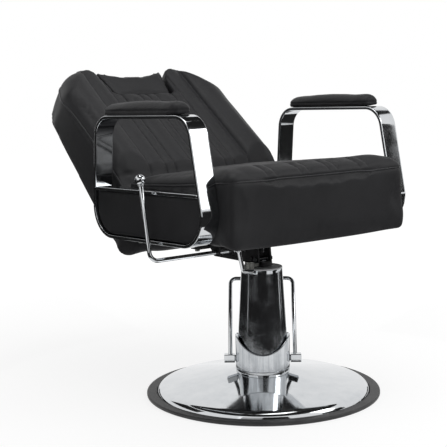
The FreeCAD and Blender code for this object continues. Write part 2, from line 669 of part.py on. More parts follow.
flange_blank = turned("pump_flange_blank", [
    (ZERO, at.dish_top),
    (at.flange_radius, at.dish_top),
    (at.flange_radius, FLANGE_TOP),
    (ZERO, FLANGE_TOP),
])


def ring_of_bolts(name, radius, height, z):
    """Upright cylinders on the flange's bolt circle, as one object."""
    first = cylinder(f"{name}_first", radius, height, x=at.flange_bolt_ring, z=z)
    ring_array = doc.addObject("Part::Compound", f"{name}_ring")
    copies = [first]
    for step in range(1, int(mm.flange_bolts)):
        copy = cylinder(f"{name}_{step}", radius, height)
        angle = math.radians(360 * step / mm.flange_bolts)
        copy.setExpression("Placement.Base.x", f"dims.flange_bolt_ring * {math.cos(angle):.9f}")
        copy.setExpression("Placement.Base.y", f"dims.flange_bolt_ring * {math.sin(angle):.9f}")
        copy.setExpression("Placement.Base.z", z.text)
        copies.append(copy)
    ring_array.Links = copies
    return ring_array


BOLT_FOOT = FLANGE_TOP - at.flange_bolt_length
bolt_room = ring_of_bolts("bolt_room", at.flange_bolt_radius + at.bolt_play,
                          at.flange_bolt_length + at.overrun, BOLT_FOOT - at.bolt_play)
finish("base_dish", cut("base_dish", dish_blank, bolt_room))
finish("base_weight", cut("base_weight", weight_blank, bolt_room))
finish("pump_flange", cut("pump_flange", flange_blank, bolt_room))
bolt_heads = ring_of_bolts("flange_bolt_head", at.bolt_head_radius, at.bolt_head_tall, FLANGE_TOP)
bolt_shanks = ring_of_bolts("flange_bolt_shank", at.flange_bolt_radius, at.flange_bolt_length, BOLT_FOOT)
finish("flange_bolts", join("flange_bolts", bolt_heads, bolt_shanks))

# Column: pump body, gland, ram, sleeve, collar and cap

PUMP_TOP = FLANGE_TOP + at.pump_tall
SLEEVE_TOP = FLANGE_TOP + at.sleeve_tall
CAP_TOP = SLEEVE_TOP + at.cap_thick
AXLE_LIFT = FLANGE_TOP + at.axle_tall
RAM_FOOT = FLANGE_TOP + at.pump_floor + at.piston_lift
HUB_FOOT = CAP_TOP + at.hub_lift
HUB_TOP = HUB_FOOT + at.hub_thick
RAM_SHOULDER = HUB_FOOT - at.seat_gap
RAM_TOP = HUB_TOP + at.seat_gap
ALONG_X = Rotation(Vector(0, 1, 0), 90)
ALONG_Y = Rotation(Vector(1, 0, 0), -90)


def across_pedal(name, radius, half_length):
    """A level cylinder on the pedal axle's line, reaching both sides of the column."""
    item = cylinder(name, radius, half_length.twice(), rotation=ALONG_X)
    turn = Rotation(Vector(0, 0, 1), mm.pedal_turn)
    item.Placement = Placement(Vector(), turn.multiply(ALONG_X))
    item.setExpression("Placement.Base.x", f"(0 - {half_length.text}) * cos(dims.pedal_turn * 1 deg)")
    item.setExpression("Placement.Base.y", f"(0 - {half_length.text}) * sin(dims.pedal_turn * 1 deg)")
    item.setExpression("Placement.Base.z", AXLE_LIFT.text)
    return item


pump_blank = turned("pump_body_blank", [
    (ZERO, FLANGE_TOP),
    (at.pump_radius, FLANGE_TOP),
    (at.pump_radius, PUMP_TOP),
    (at.pump_bore, PUMP_TOP),
    (at.pump_bore, FLANGE_TOP + at.pump_floor),
    (ZERO, FLANGE_TOP + at.pump_floor),
])
pump_hole = across_pedal("pump_axle_hole", at.axle_radius + at.axle_play, at.pump_radius + at.overrun)
finish("pump_body", cut("pump_body", pump_blank, pump_hole))

finish("pump_gland", turned("pump_gland", [
    (at.ram_radius + at.ram_play, PUMP_TOP - at.gland_spigot),
    (at.pump_bore - at.seat_gap, PUMP_TOP - at.gland_spigot),
    (at.pump_bore - at.seat_gap, PUMP_TOP),
    (at.gland_radius, PUMP_TOP),
    (at.gland_radius, PUMP_TOP + at.gland_head),
    (at.ram_radius + at.ram_play, PUMP_TOP + at.gland_head),
]))

finish("pump_ram", turned("pump_ram", [
    (ZERO, RAM_FOOT),
    (at.pump_bore - at.ram_play, RAM_FOOT),
    (at.pump_bore - at.ram_play, RAM_FOOT + at.piston_tall),
    (at.ram_radius, RAM_FOOT + at.piston_tall),
    (at.ram_radius, RAM_SHOULDER),
    (at.ram_neck_radius, RAM_SHOULDER),
    (at.ram_neck_radius, RAM_TOP),
    (ZERO, RAM_TOP),
]))

finish("ram_retainer", cylinder("ram_retainer", at.retainer_radius, at.retainer_thick, z=RAM_TOP))

sleeve_blank = turned("upper_sleeve_blank", [
    (at.sleeve_foot_radius - at.sleeve_wall, FLANGE_TOP),
    (at.sleeve_foot_radius, FLANGE_TOP),
    (at.sleeve_top_radius, SLEEVE_TOP),
    (at.sleeve_top_radius - at.sleeve_wall, SLEEVE_TOP),
])
cover_hole = across_pedal("cover_axle_hole", at.axle_radius + at.axle_sleeve_play,
                          at.collar_radius + at.overrun)
finish("upper_sleeve", cut("upper_sleeve", sleeve_blank, cover_hole))

collar_blank = turned("lower_collar_blank", [
    (at.collar_radius - at.collar_wall, FLANGE_TOP),
    (at.collar_radius, FLANGE_TOP),
    (at.collar_radius, FLANGE_TOP + at.collar_tall),
    (at.collar_radius - at.collar_wall, FLANGE_TOP + at.collar_tall),
])
scoop = doc.addObject("Part::Cylinder", "collar_scoop")
SCOOP_HALF = at.collar_radius + at.overrun
scoop_turn = Rotation(Vector(0, 0, 1), mm.pedal_turn)
scoop.Placement = Placement(Vector(), scoop_turn.multiply(ALONG_Y))
bind(scoop, Radius=at.scoop_radius, Height=SCOOP_HALF.twice())
scoop.setExpression("Placement.Base.x", f"{SCOOP_HALF.text} * sin(dims.pedal_turn * 1 deg)")
scoop.setExpression("Placement.Base.y", f"(0 - {SCOOP_HALF.text}) * cos(dims.pedal_turn * 1 deg)")
scoop.setExpression("Placement.Base.z", (FLANGE_TOP + at.scoop_floor + at.scoop_radius).text)
finish("lower_collar", cut("lower_collar", collar_blank, scoop, cover_hole))

finish("column_cap", turned("column_cap", [
    (at.ram_radius + at.cap_play, SLEEVE_TOP),
    (at.sleeve_top_radius - at.sleeve_wall - at.seat_gap - at.cap_spigot_wall, SLEEVE_TOP),
    (at.sleeve_top_radius - at.sleeve_wall - at.seat_gap - at.cap_spigot_wall, SLEEVE_TOP - at.cap_spigot),
    (at.sleeve_top_radius - at.sleeve_wall - at.seat_gap, SLEEVE_TOP - at.cap_spigot),
    (at.sleeve_top_radius - at.sleeve_wall - at.seat_gap, SLEEVE_TOP),
    (at.sleeve_top_radius, SLEEVE_TOP),
    (at.sleeve_top_radius, CAP_TOP - at.cap_bevel),
    (at.sleeve_top_radius - at.cap_bevel, CAP_TOP),
    (at.ram_radius + at.cap_play, CAP_TOP),
]))

# Pump pedal: cross axle, two blocks and the bail, built facing +Y and turned about the column

PEDAL_FRAME = Placement(Vector(0, 0, AXLE_LIFT.value), Rotation(Vector(0, 0, 1), mm.pedal_turn))


def pedal_part(name, shape):
    """A pedal piece, set on the axle's line."""
    return finish(name, formed(name, shape, PEDAL_FRAME))


def pedal_block(side):
    """A bevelled block on one end of the axle."""
    corner = Vector(mm.block_inset, -mm.block_tall / 2, -mm.block_tall / 2)
    block = Part.makeBox(mm.block_wide, mm.block_tall, mm.block_tall, corner)
    block = block.makeChamfer(mm.block_edge, block.Edges)
    block = block.cut(axle_shape)
    if side < 0:
        block = block.mirror(Vector(), Vector(1, 0, 0))
    return block


AXLE_END = mm.block_inset + mm.block_wide - mm.block_edge
axle_shape = Part.makeCylinder(mm.axle_radius, 2 * AXLE_END, Vector(-AXLE_END, 0, 0), Vector(1, 0, 0))
pedal_part("pedal_axle", axle_shape)
rise = math.radians(mm.pedal_rise)
leg_run = Vector(0, math.cos(rise), math.sin(rise))
bail_points = [
    Vector(-mm.bail_half, 0, 0) + leg_run * mm.axle_radius,
    Vector(-mm.bail_half, 0, 0) + leg_run * mm.bail_reach,
    Vector(mm.bail_half, 0, 0) + leg_run * mm.bail_reach,
    Vector(mm.bail_half, 0, 0) + leg_run * mm.axle_radius,
]
bail_shape = rod(bail_points, [mm.bail_bend, mm.bail_bend], mm.bail_rod).cut(axle_shape)
pedal_part("pedal_bail", bail_shape)
pedal_part("pedal_block_left", pedal_block(1).cut(bail_shape))
pedal_part("pedal_block_right", pedal_block(-1).cut(bail_shape))

# Seat carrier: hub, fork plates, carrier plate, cross bolts and lock barrel

hub_blank = turned("carrier_hub_blank", [
    (at.ram_neck_radius + at.ram_play, HUB_FOOT),
    (at.hub_radius, HUB_FOOT),
    (at.hub_radius, HUB_TOP),
    (at.ram_neck_radius + at.ram_play, HUB_TOP),
])
hub_sides = []
for side, x in (("left", at.fork_inner), ("right", -at.fork_inner - at.hub_radius)):
    hub_sides.append(box(f"hub_side_{side}", at.hub_radius, at.hub_radius.twice(), at.hub_thick + at.overrun,
                         x=x, y=-at.hub_radius, z=HUB_FOOT - at.overrun.half()))
finish("carrier_hub", cut("carrier_hub", hub_blank, *hub_sides))

PLATE_FOOT = at.carrier_lift
PLATE_TOP = at.carrier_lift + at.top_plate_thick
FORK_LOW = HUB_TOP - at.fork_drop
fork_corners = [
    (-at.fork_front, HUB_FOOT),
    (at.fork_foot_back, HUB_FOOT),
    (at.fork_foot_back, FORK_LOW),
    (at.fork_tail, FORK_LOW),
    (at.fork_reach, FORK_LOW + at.fork_tail_rise),
    (at.fork_reach, PLATE_FOOT),
    (-at.fork_head_front, PLATE_FOOT),
]
bolt_holes = []
FORK_OUTER = at.fork_inner + at.fork_thick


def hexagon(name, radius, height, x, y, z, rotation=None):
    """A hexagonal head or nut whose sizes follow the sheet."""
    item = doc.addObject("Part::Prism", name)
    item.Polygon = 6
    if rotation:
        item.Placement = Placement(Vector(), rotation)
    bind(item, Circumradius=radius, Height=height)
    return place(item, x=x, y=y, z=z)


def through_bolt(name, radius, head_radius, head_tall, y, z, *extras):
    """A bolt through both fork plates with a head outside each, and its hole."""
    bolt_holes.append(cylinder(f"{name}_hole", radius, FORK_OUTER.twice(), x=-FORK_OUTER, y=y, z=z,
                               rotation=ALONG_X))
    shank = cylinder(f"{name}_shank", radius, FORK_OUTER.twice(), x=-FORK_OUTER, y=y, z=z, rotation=ALONG_X)
    heads = [
        hexagon(f"{name}_head_right", head_radius, head_tall, -FORK_OUTER - head_tall, y, z, ALONG_X),
        hexagon(f"{name}_head_left", head_radius, head_tall, FORK_OUTER, y, z, ALONG_X),
    ]
    finish(name, join(name, shank, *heads, *extras))


CROSS_LIFT = HUB_TOP + at.cross_bolt_low
inner_nut = hexagon("cross_bolt_nut", at.cross_nut, at.cross_nut_tall, at.fork_inner - at.cross_nut_tall,
                    -at.cross_bolt_set, CROSS_LIFT, ALONG_X)
through_bolt("cross_bolt", at.cross_bolt_radius, at.cross_bolt_head, at.cross_bolt_head_tall,
             -at.cross_bolt_set, CROSS_LIFT, inner_nut)
through_bolt("carrier_bolt", at.carrier_bolt_radius, at.carrier_bolt_head, at.carrier_bolt_head_tall,
             at.carrier_bolt_back, HUB_TOP + at.carrier_bolt_lift)
RELEASE_FOOT = HUB_TOP + at.release_lift
release_shank = cylinder("release_shank", at.release_radius, PLATE_FOOT - RELEASE_FOOT,
                         y=-at.cross_bolt_set, z=RELEASE_FOOT)
release_nut = hexagon("release_nut_six", at.release_nut, at.release_nut_tall, ZERO, -at.cross_bolt_set,
                      RELEASE_FOOT + at.release_nut_lift)
finish("release_screw", join("release_screw", release_shank, release_nut))
gas_pin_hole = cylinder("gas_pin_hole", at.gas_pin, FORK_OUTER.twice(), x=-FORK_OUTER,
                        y=at.gas_pivot_back, z=at.gas_pivot_lift, rotation=ALONG_X)
for side, offset in (("left", at.fork_inner), ("right", -FORK_OUTER)):
    blank = plate(f"fork_plate_{side}_blank", "YZ_Plane", fork_corners, at.fork_thick, offset)
    name = f"fork_plate_{side}"
    finish(name, cut(name, blank, *bolt_holes, gas_pin_hole))
finish("carrier_plate", box("carrier_plate", at.top_plate_half.twice(), at.top_plate_front + at.top_plate_back,
                            at.top_plate_thick, x=-at.top_plate_half, y=-at.top_plate_front, z=PLATE_FOOT))

BARREL_FOOT = CAP_TOP + at.barrel_lift
barrel = cylinder("barrel_round", at.barrel_radius, at.barrel_tall, x=-at.barrel_out, y=-at.barrel_set,
                  z=BARREL_FOOT)
barrel_arm = box("barrel_arm", at.barrel_out - FORK_OUTER, at.barrel_arm_wide, at.barrel_arm_tall,
                 x=-at.barrel_out, y=-at.barrel_set - at.barrel_arm_wide.half() + at.cross_bolt_set,
                 z=BARREL_FOOT + at.barrel_arm_lift)
finish("lock_barrel", join("lock_barrel", barrel, barrel_arm))

# Seat frame: a ladder of flat bars and its board, both tilted with the arms

ARM_MIDDLE = at.arm_inner + at.bar_wide.half()
ARM_BOLT_AT = at.arm_inner + at.arm_bolt_set
RAIL_HALF = at.arm_inner + at.rail_lap
ARM_TILT = Placement(Vector(0, 0, mm.arm_lift), Rotation(Vector(1, 0, 0), -mm.arm_tilt))
tilt = math.radians(mm.arm_tilt)
RAIL_FRONT = -at.rail_front - at.rail_wide.half()
RAIL_REAR = at.rail_back + at.rail_wide.half()


def tilted(item, x=ZERO, y=ZERO):
    """Tip a sub-part with the arms, its own origin at a spot of their tilted foot plane."""
    item.Placement = Placement(Vector(), Rotation(Vector(1, 0, 0), -mm.arm_tilt))
    item.setExpression("Placement.Base.x", x.text)
    item.setExpression("Placement.Base.y", f"{y.text} * cos(dims.arm_tilt * 1 deg)")
    item.setExpression("Placement.Base.z", f"dims.arm_lift - {y.text} * sin(dims.arm_tilt * 1 deg)")
    return item


ladder = []
for end, y in (("front", RAIL_FRONT), ("rear", at.rail_back - at.rail_wide.half())):
    ladder.append(box(f"cross_bar_{end}", RAIL_HALF.twice(), at.rail_wide, at.rail_thick,
                      x=-RAIL_HALF, y=y, z=-at.rail_thick))
for side, x in (("left", at.beam_inner), ("right", -at.beam_inner - at.beam_wide)):
    ladder.append(box(f"long_bar_{side}", at.beam_wide, RAIL_REAR - RAIL_FRONT, at.rail_thick,
                      x=x, y=RAIL_FRONT, z=-at.rail_thick))
bolt_rooms = []
for side, x in (("left", ARM_BOLT_AT), ("right", -ARM_BOLT_AT)):
    for end, y in (("front", -at.rail_front), ("rear", at.rail_back)):
        bolt_rooms.append(cylinder(f"arm_bolt_room_{side}_{end}", at.arm_bolt_radius + at.arm_bolt_play,
                                   at.rail_thick + at.overrun, x=x, y=y, z=-at.rail_thick - at.overrun.half()))
finish("seat_frame", tilted(cut("seat_frame", join("seat_frame", *ladder), *bolt_rooms)))
finish("seat_board", tilted(box("seat_board", at.board_half.twice(), at.board_front + at.board_back,
                                at.board_thick), x=-at.board_half, y=-at.board_front))


def slanted(y, offset):
    """Return the height of a line that runs with the tilted frame, at a distance behind the axis."""
    value = mm.arm_lift - y.value * math.tan(tilt) + offset.value / math.cos(tilt)
    text = (f"(dims.arm_lift - {y.text} * tan(dims.arm_tilt * 1 deg)"
            f" + {offset.text} / cos(dims.arm_tilt * 1 deg))")
    return Size(value, text)


wedge_corners = [
    (-at.top_plate_front, PLATE_TOP),
    (at.top_plate_back, PLATE_TOP),
    (at.top_plate_back, slanted(at.top_plate_back, -at.rail_thick)),
    (-at.top_plate_front, slanted(-at.top_plate_front, -at.rail_thick)),
]
for side, offset in (("left", at.beam_inner), ("right", -at.beam_inner - at.beam_wide)):
    finish(f"frame_wedge_{side}", plate(f"frame_wedge_{side}", "YZ_Plane", wedge_corners, at.beam_wide, offset))


def bolt_drill(x, y):
    """A drill square to the tilted foot bar, in the arms' own frame."""
    return Part.makeCylinder(mm.arm_bolt_radius + mm.arm_bolt_play, mm.overrun * 2,
                             Vector(x, y, -mm.overrun))


# Arm loops, crossbars, side panels and pads: built level, then tilted together


def loop_corners(inset):
    """Return the loop's four corners in its side view, moved inwards by an inset."""
    foot_front = Vector(0, -mm.loop_foot_front, 0)
    foot_back = Vector(0, mm.loop_foot_back, 0)
    head_back = Vector(0, mm.loop_head_back, mm.loop_tall)
    head_front = Vector(0, -mm.loop_head_front, mm.loop_tall)
    front_lean = math.atan2(head_front.y - foot_front.y, mm.loop_tall)
    back_lean = math.atan2(foot_back.y - head_back.y, mm.loop_tall)
    front_shift = inset / math.cos(front_lean)
    back_shift = inset / math.cos(back_lean)
    low = inset
    high = mm.loop_tall - inset
    return [
        Vector(0, foot_front.y + low * math.tan(front_lean) + front_shift, low),
        Vector(0, foot_back.y - low * math.tan(back_lean) - back_shift, low),
        Vector(0, foot_back.y - high * math.tan(back_lean) - back_shift, high),
        Vector(0, foot_front.y + high * math.tan(front_lean) + front_shift, high),
    ]


def loop_wire(inset):
    """Return the loop's rounded side view, moved inwards by an inset."""
    foot = mm.loop_foot_round - inset
    head = mm.loop_head_round - inset
    return rounded(loop_corners(inset), [foot, foot, head, head])


def arm_loop(start):
    """The flat bar bent round to a closed loop."""
    ring_face = Part.Face([loop_wire(0), loop_wire(mm.bar_thick)])
    ring_face.validate()
    return ring_face.extrude(Vector(mm.bar_wide, 0, 0)).translate(Vector(start, 0, 0))


def level_window(low, high, inset):
    """Return the loop's side view less an inset, kept between two heights."""
    window = Part.Face(loop_wire(inset))
    reach = mm.loop_foot_front + mm.loop_foot_back
    band = face_of([
        Vector(0, -reach, low),
        Vector(0, reach, low),
        Vector(0, reach, high),
        Vector(0, -reach, high),
    ])
    return window.common(band)


def crossbar(start):
    """The flat bar across the loop, its ends cut to the uprights."""
    window = level_window(mm.crossbar_lift - mm.bar_thick, mm.crossbar_lift, mm.bar_thick)
    return window.Faces[0].extrude(Vector(mm.bar_wide, 0, 0)).translate(Vector(start, 0, 0))


def side_panel(sign):
    """The upholstered panel in the loop's lower window, its outer edge rounded."""
    inset = mm.bar_thick + mm.panel_gap
    window = level_window(inset, mm.crossbar_lift - mm.bar_thick - mm.panel_gap, inset)
    outer = ARM_MIDDLE.value + mm.bar_wide / 2 - mm.panel_inset
    inner = outer - mm.panel_thick
    panel = window.Faces[0].extrude(Vector(mm.panel_thick, 0, 0)).translate(Vector(inner, 0, 0))
    outer_edges = [edge for edge in panel.Edges if edge.BoundBox.XMin > outer - 0.01]
    panel = panel.makeFillet(mm.panel_round, outer_edges)
    if sign < 0:
        panel = panel.mirror(Vector(), Vector(1, 0, 0))
    return panel


def pad_station(y, spread, fall):
    """One upright section of an arm pad: flat foot, side walls and an arched top."""
    half = mm.pad_half * spread
    low = mm.loop_tall + mm.seat_gap
    side = low + mm.pad_side - fall / 2
    top = low + mm.pad_tall - fall
    corners = [Vector(-half, y, low), Vector(half, y, low), Vector(half, y, side)]
    edges = [Part.LineSegment(a, b).toShape() for a, b in zip(corners, corners[1:])]
    edges.append(Part.Arc(corners[2], Vector(0, y, top), Vector(-half, y, side)).toShape())
    edges.append(Part.LineSegment(Vector(-half, y, side), corners[0]).toShape())
    return Part.Wire(edges)


def arm_pad(start):
    """The pad: sections that narrow and fall towards both ends."""
    middle = (mm.pad_back - mm.pad_front) / 2
    half_long = (mm.pad_back + mm.pad_front) / 2
    run_shares = (1, 0.985, 0.945, 0.88, 0.7, 0.35, 0)
    spread_shares = (0.5, 0.66, 0.84, 0.95, 1, 1, 1)
    stations = []
    for run, spread in zip(run_shares, spread_shares):
        fall = mm.pad_arch * run ** 2 + mm.pad_side * (1 - spread)
        stations.append((half_long * run, spread, fall))
    ordered = [(-run, spread, fall) for run, spread, fall in stations]
    ordered += [entry for entry in reversed(stations[:-1])]
    wires = [pad_station(middle + run, spread, fall) for run, spread, fall in ordered]
    pad = Part.makeLoft(wires, True, True)
    return pad.translate(Vector(start + mm.bar_wide / 2, 0, 0))


for side, sign in (("left", 1), ("right", -1)):
    start = mm.arm_inner if sign > 0 else -mm.arm_inner - mm.bar_wide
    loop_shape = arm_loop(start)
    for y in (-mm.rail_front, mm.rail_back):
        loop_shape = loop_shape.cut(bolt_drill(sign * ARM_BOLT_AT.value, y))
    finish(f"arm_loop_{side}", formed(f"arm_loop_{side}", loop_shape, ARM_TILT))
    finish(f"arm_crossbar_{side}", formed(f"arm_crossbar_{side}", crossbar(start), ARM_TILT))
    finish(f"side_panel_{side}", formed(f"side_panel_{side}", side_panel(sign), ARM_TILT))
    finish(f"arm_pad_{side}", formed(f"arm_pad_{side}", arm_pad(start), ARM_TILT))

arm_bolts = []
for sign in (1, -1):
    for y in (-mm.rail_front, mm.rail_back):
        spot = Vector(sign * ARM_BOLT_AT.value, y, -mm.rail_thick)
        shank = Part.makeCylinder(mm.arm_bolt_radius, mm.rail_thick + mm.bar_thick, spot)
        head = Part.makeCylinder(mm.arm_bolt_head, mm.arm_bolt_head_tall, spot - Vector(0, 0, mm.arm_bolt_head_tall))
        arm_bolts.append(shank.fuse(head))
finish("arm_bolts", formed("arm_bolts", Part.makeCompound(arm_bolts), ARM_TILT))

# Seat cushion: ruled sections from front to rear, the top split into sewn channels


EDGE_TURN_SHARE = 0.32
EDGE_LIFT_SHARE = 0.66
# Run from the end in corner radii, narrowing in corner radii, and share of the pillow's swell
FRONT_SHARES = ((0, 0.8, 0.08), (0.12, 0.5, 0.35), (0.4, 0.18, 0.62), (1, 0, 0.88), (2, 0, 1))
REAR_SHARES = ((2, 0, 0.72), (0.7, 0, 0.4), (0, 0, 0.08))
MIDDLE_SWELL_SHARES = (1.04, 1)


def seam_height(y):
    """Return the height of the cushion's top seam at a distance behind the axis."""
    if y < 0:
        share = -y / mm.cushion_front
        return mm.piping_middle + (mm.piping_front - mm.piping_middle) * share
    share = y / mm.cushion_back
    return mm.piping_middle + (mm.piping_back - mm.piping_middle) * share


def seat_section(y, narrow, swell):
    """One upright section of the seat cushion: box sides and a top of channels between seams."""
    half = mm.cushion_half - narrow
    low = mm.arm_lift - y * math.tan(tilt) + mm.board_show
    side = seam_height(y)
    edge = half - mm.pillow_edge
    seams = [mm.welt_inner, mm.welt_inner + mm.welt_wide, mm.welt_outer, mm.welt_outer + mm.welt_wide, edge]
    stops = [-x for x in reversed(seams)] + seams

    def top(x):
        return side + swell * (mm.pillow_rise + mm.pillow_crown * (1 - (x / edge) ** 2))

    corners = [Vector(-half, y, side), Vector(-half, y, low), Vector(half, y, low), Vector(half, y, side)]
    edges = [Part.LineSegment(a, b).toShape() for a, b in zip(corners, corners[1:])]
    lift = swell * mm.pillow_rise
    spot = corners[-1]
    end = Vector(stops[-1], y, top(stops[-1]))
    middle = Vector(half - mm.pillow_edge * EDGE_TURN_SHARE, y, side + lift * EDGE_LIFT_SHARE)
    edges.append(Part.Arc(spot, middle, end).toShape())
    for right, left in zip(reversed(stops[1:]), reversed(stops[:-1])):
        a = Vector(right, y, top(right))
        b = Vector(left, y, top(left))
        centre = (right + left) / 2
        c = Vector(centre, y, top(centre) + swell * mm.pillow_bulge)
        edges.append(Part.Arc(a, c, b).toShape())
    last = Vector(stops[0], y, top(stops[0]))
    middle = Vector(-half + mm.pillow_edge * EDGE_TURN_SHARE, y, side + lift * EDGE_LIFT_SHARE)
    edges.append(Part.Arc(last, middle, corners[0]).toShape())
    return Part.Wire(edges)


def seat_cushion():
    """The boxed seat cushion with rounded front corners and a crowned top."""
    corner = mm.cushion_corner
    stations = []
    for run, narrow, swell in FRONT_SHARES:
        stations.append((-mm.cushion_front + corner * run, corner * narrow, swell))
    stations.append((-mm.cushion_front / 4, 0, MIDDLE_SWELL_SHARES[0]))
    stations.append((mm.cushion_back / 4, 0, MIDDLE_SWELL_SHARES[1]))
    for run, narrow, swell in REAR_SHARES:
        stations.append((mm.cushion_back - corner * run, corner * narrow, swell))
    wires = [seat_section(y, narrow, swell) for y, narrow, swell in stations]
    room = Part.makeBox((mm.board_half + mm.seat_gap) * 2, mm.board_front + mm.board_back + mm.seat_gap * 2,
                        mm.board_thick + mm.seat_gap,
                        Vector(-mm.board_half - mm.seat_gap, -mm.board_front - mm.seat_gap, 0))
    room.Placement = ARM_TILT
    return Part.makeLoft(wires, True, True).cut(room)


finish("seat_cushion", formed("seat_cushion", seat_cushion()))

# Recline lever: bent rod, ball and two clips under the seat

lever_axis = Vector(-mm.lever_inner, -mm.lever_set, mm.lever_lift)
lever_points = [
    Vector(-mm.lever_out, -mm.lever_set + mm.lever_lean, mm.lever_lift + mm.lever_handle),
    Vector(-mm.lever_out, -mm.lever_set, mm.lever_lift),
    lever_axis,
    lever_axis + Vector(mm.lever_crank_in, 0, -mm.lever_crank_drop),
]
lever_points.append(lever_points[3] + Vector(mm.lever_tip_in, -mm.lever_tip_set, 0))
lever_bends = [mm.lever_bend, mm.lever_small_bend, mm.lever_tip_bend]
lever_shape = rod(lever_points, lever_bends, mm.lever_rod)
finish("recline_lever", formed("recline_lever", lever_shape))
ball = Part.makeSphere(mm.ball_radius, lever_points[0]).cut(lever_shape)
finish("lever_ball", formed("lever_ball", ball))


def lever_clip(name, out, top):
    """A block that hangs from the seat and holds the lever's level run."""
    tall = top - at.lever_lift + at.lever_rod + at.clip_lip
    block = box(f"{name}_block", at.clip_wide, at.clip_deep, tall, x=-out - at.clip_wide.half(),
                y=-at.lever_set - at.clip_deep.half(), z=top - tall)
    room = cylinder(f"{name}_room", at.lever_rod + at.clip_play, at.clip_wide + at.overrun.twice(),
                    x=-out - at.clip_wide.half() - at.overrun, y=-at.lever_set, z=at.lever_lift,
                    rotation=ALONG_X)
    finish(name, cut(name, block, room))


lever_clip("lever_clip_outer", at.clip_outer_at, PLATE_FOOT)
lever_clip("lever_clip_inner", at.clip_inner_at, PLATE_FOOT)

# Recline hinge: seat brackets, pins, back straps, hinge tube and lug

hinge = Vector(0, mm.hinge_back, mm.hinge_lift)
STRAP_FACE = mm.back_half + mm.seat_gap
BRACKET_FACE = STRAP_FACE + mm.hinge_plate_thick + mm.hinge_side_gap
PIN_END = BRACKET_FACE + mm.hinge_plate_thick


def x_cylinder(radius, start, end, spot):
    """A cylinder across the chair between two distances from the middle."""
    return Part.makeCylinder(radius, end - start, Vector(start, spot.y, spot.z), Vector(1, 0, 0))


def mirrored(shape, sign):
    """Return the shape, or its mirror image across the middle."""
    return shape if sign > 0 else shape.mirror(Vector(), Vector(1, 0, 0))


def seat_bracket():
    """The steel bracket from the rear rail up to the hinge."""
    front = mm.bracket_front
    heel = slanted(RAIL_REAR, -at.rail_thick).value
    foot = slanted(at.bracket_front, -at.rail_thick).value
    low = heel - mm.bracket_deep
    corners = [
        Vector(BRACKET_FACE, front, low),
        Vector(BRACKET_FACE, hinge.y - mm.hinge_eye, low),
        Vector(BRACKET_FACE, hinge.y + mm.hinge_eye, low + mm.bracket_bend),
        Vector(BRACKET_FACE, hinge.y + mm.hinge_eye, hinge.z),
        Vector(BRACKET_FACE, hinge.y - mm.hinge_eye, hinge.z),
        Vector(BRACKET_FACE, hinge.y - mm.hinge_eye, heel),
        Vector(BRACKET_FACE, RAIL_REAR.value, heel),
        Vector(BRACKET_FACE, front, foot),
    ]
    web = face_of(corners).extrude(Vector(mm.hinge_plate_thick, 0, 0))
    eye = x_cylinder(mm.hinge_eye, BRACKET_FACE, PIN_END, hinge)
    pin = x_cylinder(mm.tube_bore - mm.hinge_pin_play, 0, PIN_END, hinge)
    return web.fuse(eye).removeSplitter().cut(pin)


def hinge_pin():
    """The shouldered pin through the bracket and the strap into the tube's end."""
    shaft = x_cylinder(mm.tube_bore - mm.hinge_pin_play, STRAP_FACE - mm.hinge_pin_in, PIN_END, hinge)
    head = x_cylinder(mm.hinge_pin_head, PIN_END, PIN_END + mm.hinge_pin_head_tall, hinge)
    return shaft.fuse(head).removeSplitter()


slope = math.radians(mm.back_slope)
up_back = Vector(0, math.cos(slope), math.sin(slope))
out_of_back = Vector(0, -math.sin(slope), math.cos(slope))


def back_strap():
    """The steel strap on the back's side, from the hinge up the back."""
    side = out_of_back * (-mm.strap_wide / 2)
    low = hinge + Vector(STRAP_FACE, 0, 0)
    high = low + up_back * mm.strap_long - out_of_back * mm.strap_wide
    corners = [low - side, low + side, high + side, high - side]
    web = face_of(corners).extrude(Vector(mm.hinge_plate_thick, 0, 0))
    eye = x_cylinder(mm.hinge_eye - mm.hinge_side_gap, STRAP_FACE, STRAP_FACE + mm.hinge_plate_thick, hinge)
    bore = x_cylinder(mm.tube_bore, 0, PIN_END, hinge)
    return web.fuse(eye).removeSplitter().cut(bore)


for side, sign in (("left", 1), ("right", -1)):
    finish(f"seat_bracket_{side}", formed(f"seat_bracket_{side}", mirrored(seat_bracket(), sign)))
    finish(f"hinge_pin_{side}", formed(f"hinge_pin_{side}", mirrored(hinge_pin(), sign)))
    finish(f"back_strap_{side}", formed(f"back_strap_{side}", mirrored(back_strap(), sign)))


def hinge_tube():
    """The cross tube on the hinge line with the lug that the gas spring pushes."""
    tube = x_cylinder(mm.tube_radius, -STRAP_FACE, STRAP_FACE, hinge)
    eye_spot = Vector(0, mm.lug_back, mm.lug_lift)
    half = mm.lug_thick / 2
    start = Vector(-half, hinge.y - mm.lug_wide / 2, hinge.z)
    web = face_of([
        start,
        Vector(-half, hinge.y + mm.lug_wide / 2, hinge.z),
        Vector(-half, eye_spot.y + mm.lug_eye, eye_spot.z),
        Vector(-half, eye_spot.y - mm.lug_eye, eye_spot.z),
    ]).extrude(Vector(mm.lug_thick, 0, 0))
    eye = x_cylinder(mm.lug_eye, -half, half, eye_spot)
    hole = x_cylinder(mm.gas_rod + mm.lug_play, -half, half, eye_spot)
    bore = x_cylinder(mm.tube_bore, -STRAP_FACE, STRAP_FACE, hinge)
    return tube.fuse(web).fuse(eye).removeSplitter().cut(hole).cut(bore)


finish("hinge_tube", formed("hinge_tube", hinge_tube()))

# Locking gas spring: built along +Y at its front pivot, then sloped to the lug

gas_front = Vector(0, mm.gas_pivot_back, mm.gas_pivot_lift)
gas_run = Vector(0, mm.lug_back, mm.lug_lift) - gas_front
GAS_LONG = gas_run.Length
GAS_FRAME = Placement(gas_front, Rotation(Vector(1, 0, 0), math.degrees(math.atan2(gas_run.z, gas_run.y))))
TUBE_START = mm.gas_eye
TUBE_END = TUBE_START + mm.gas_tube_long


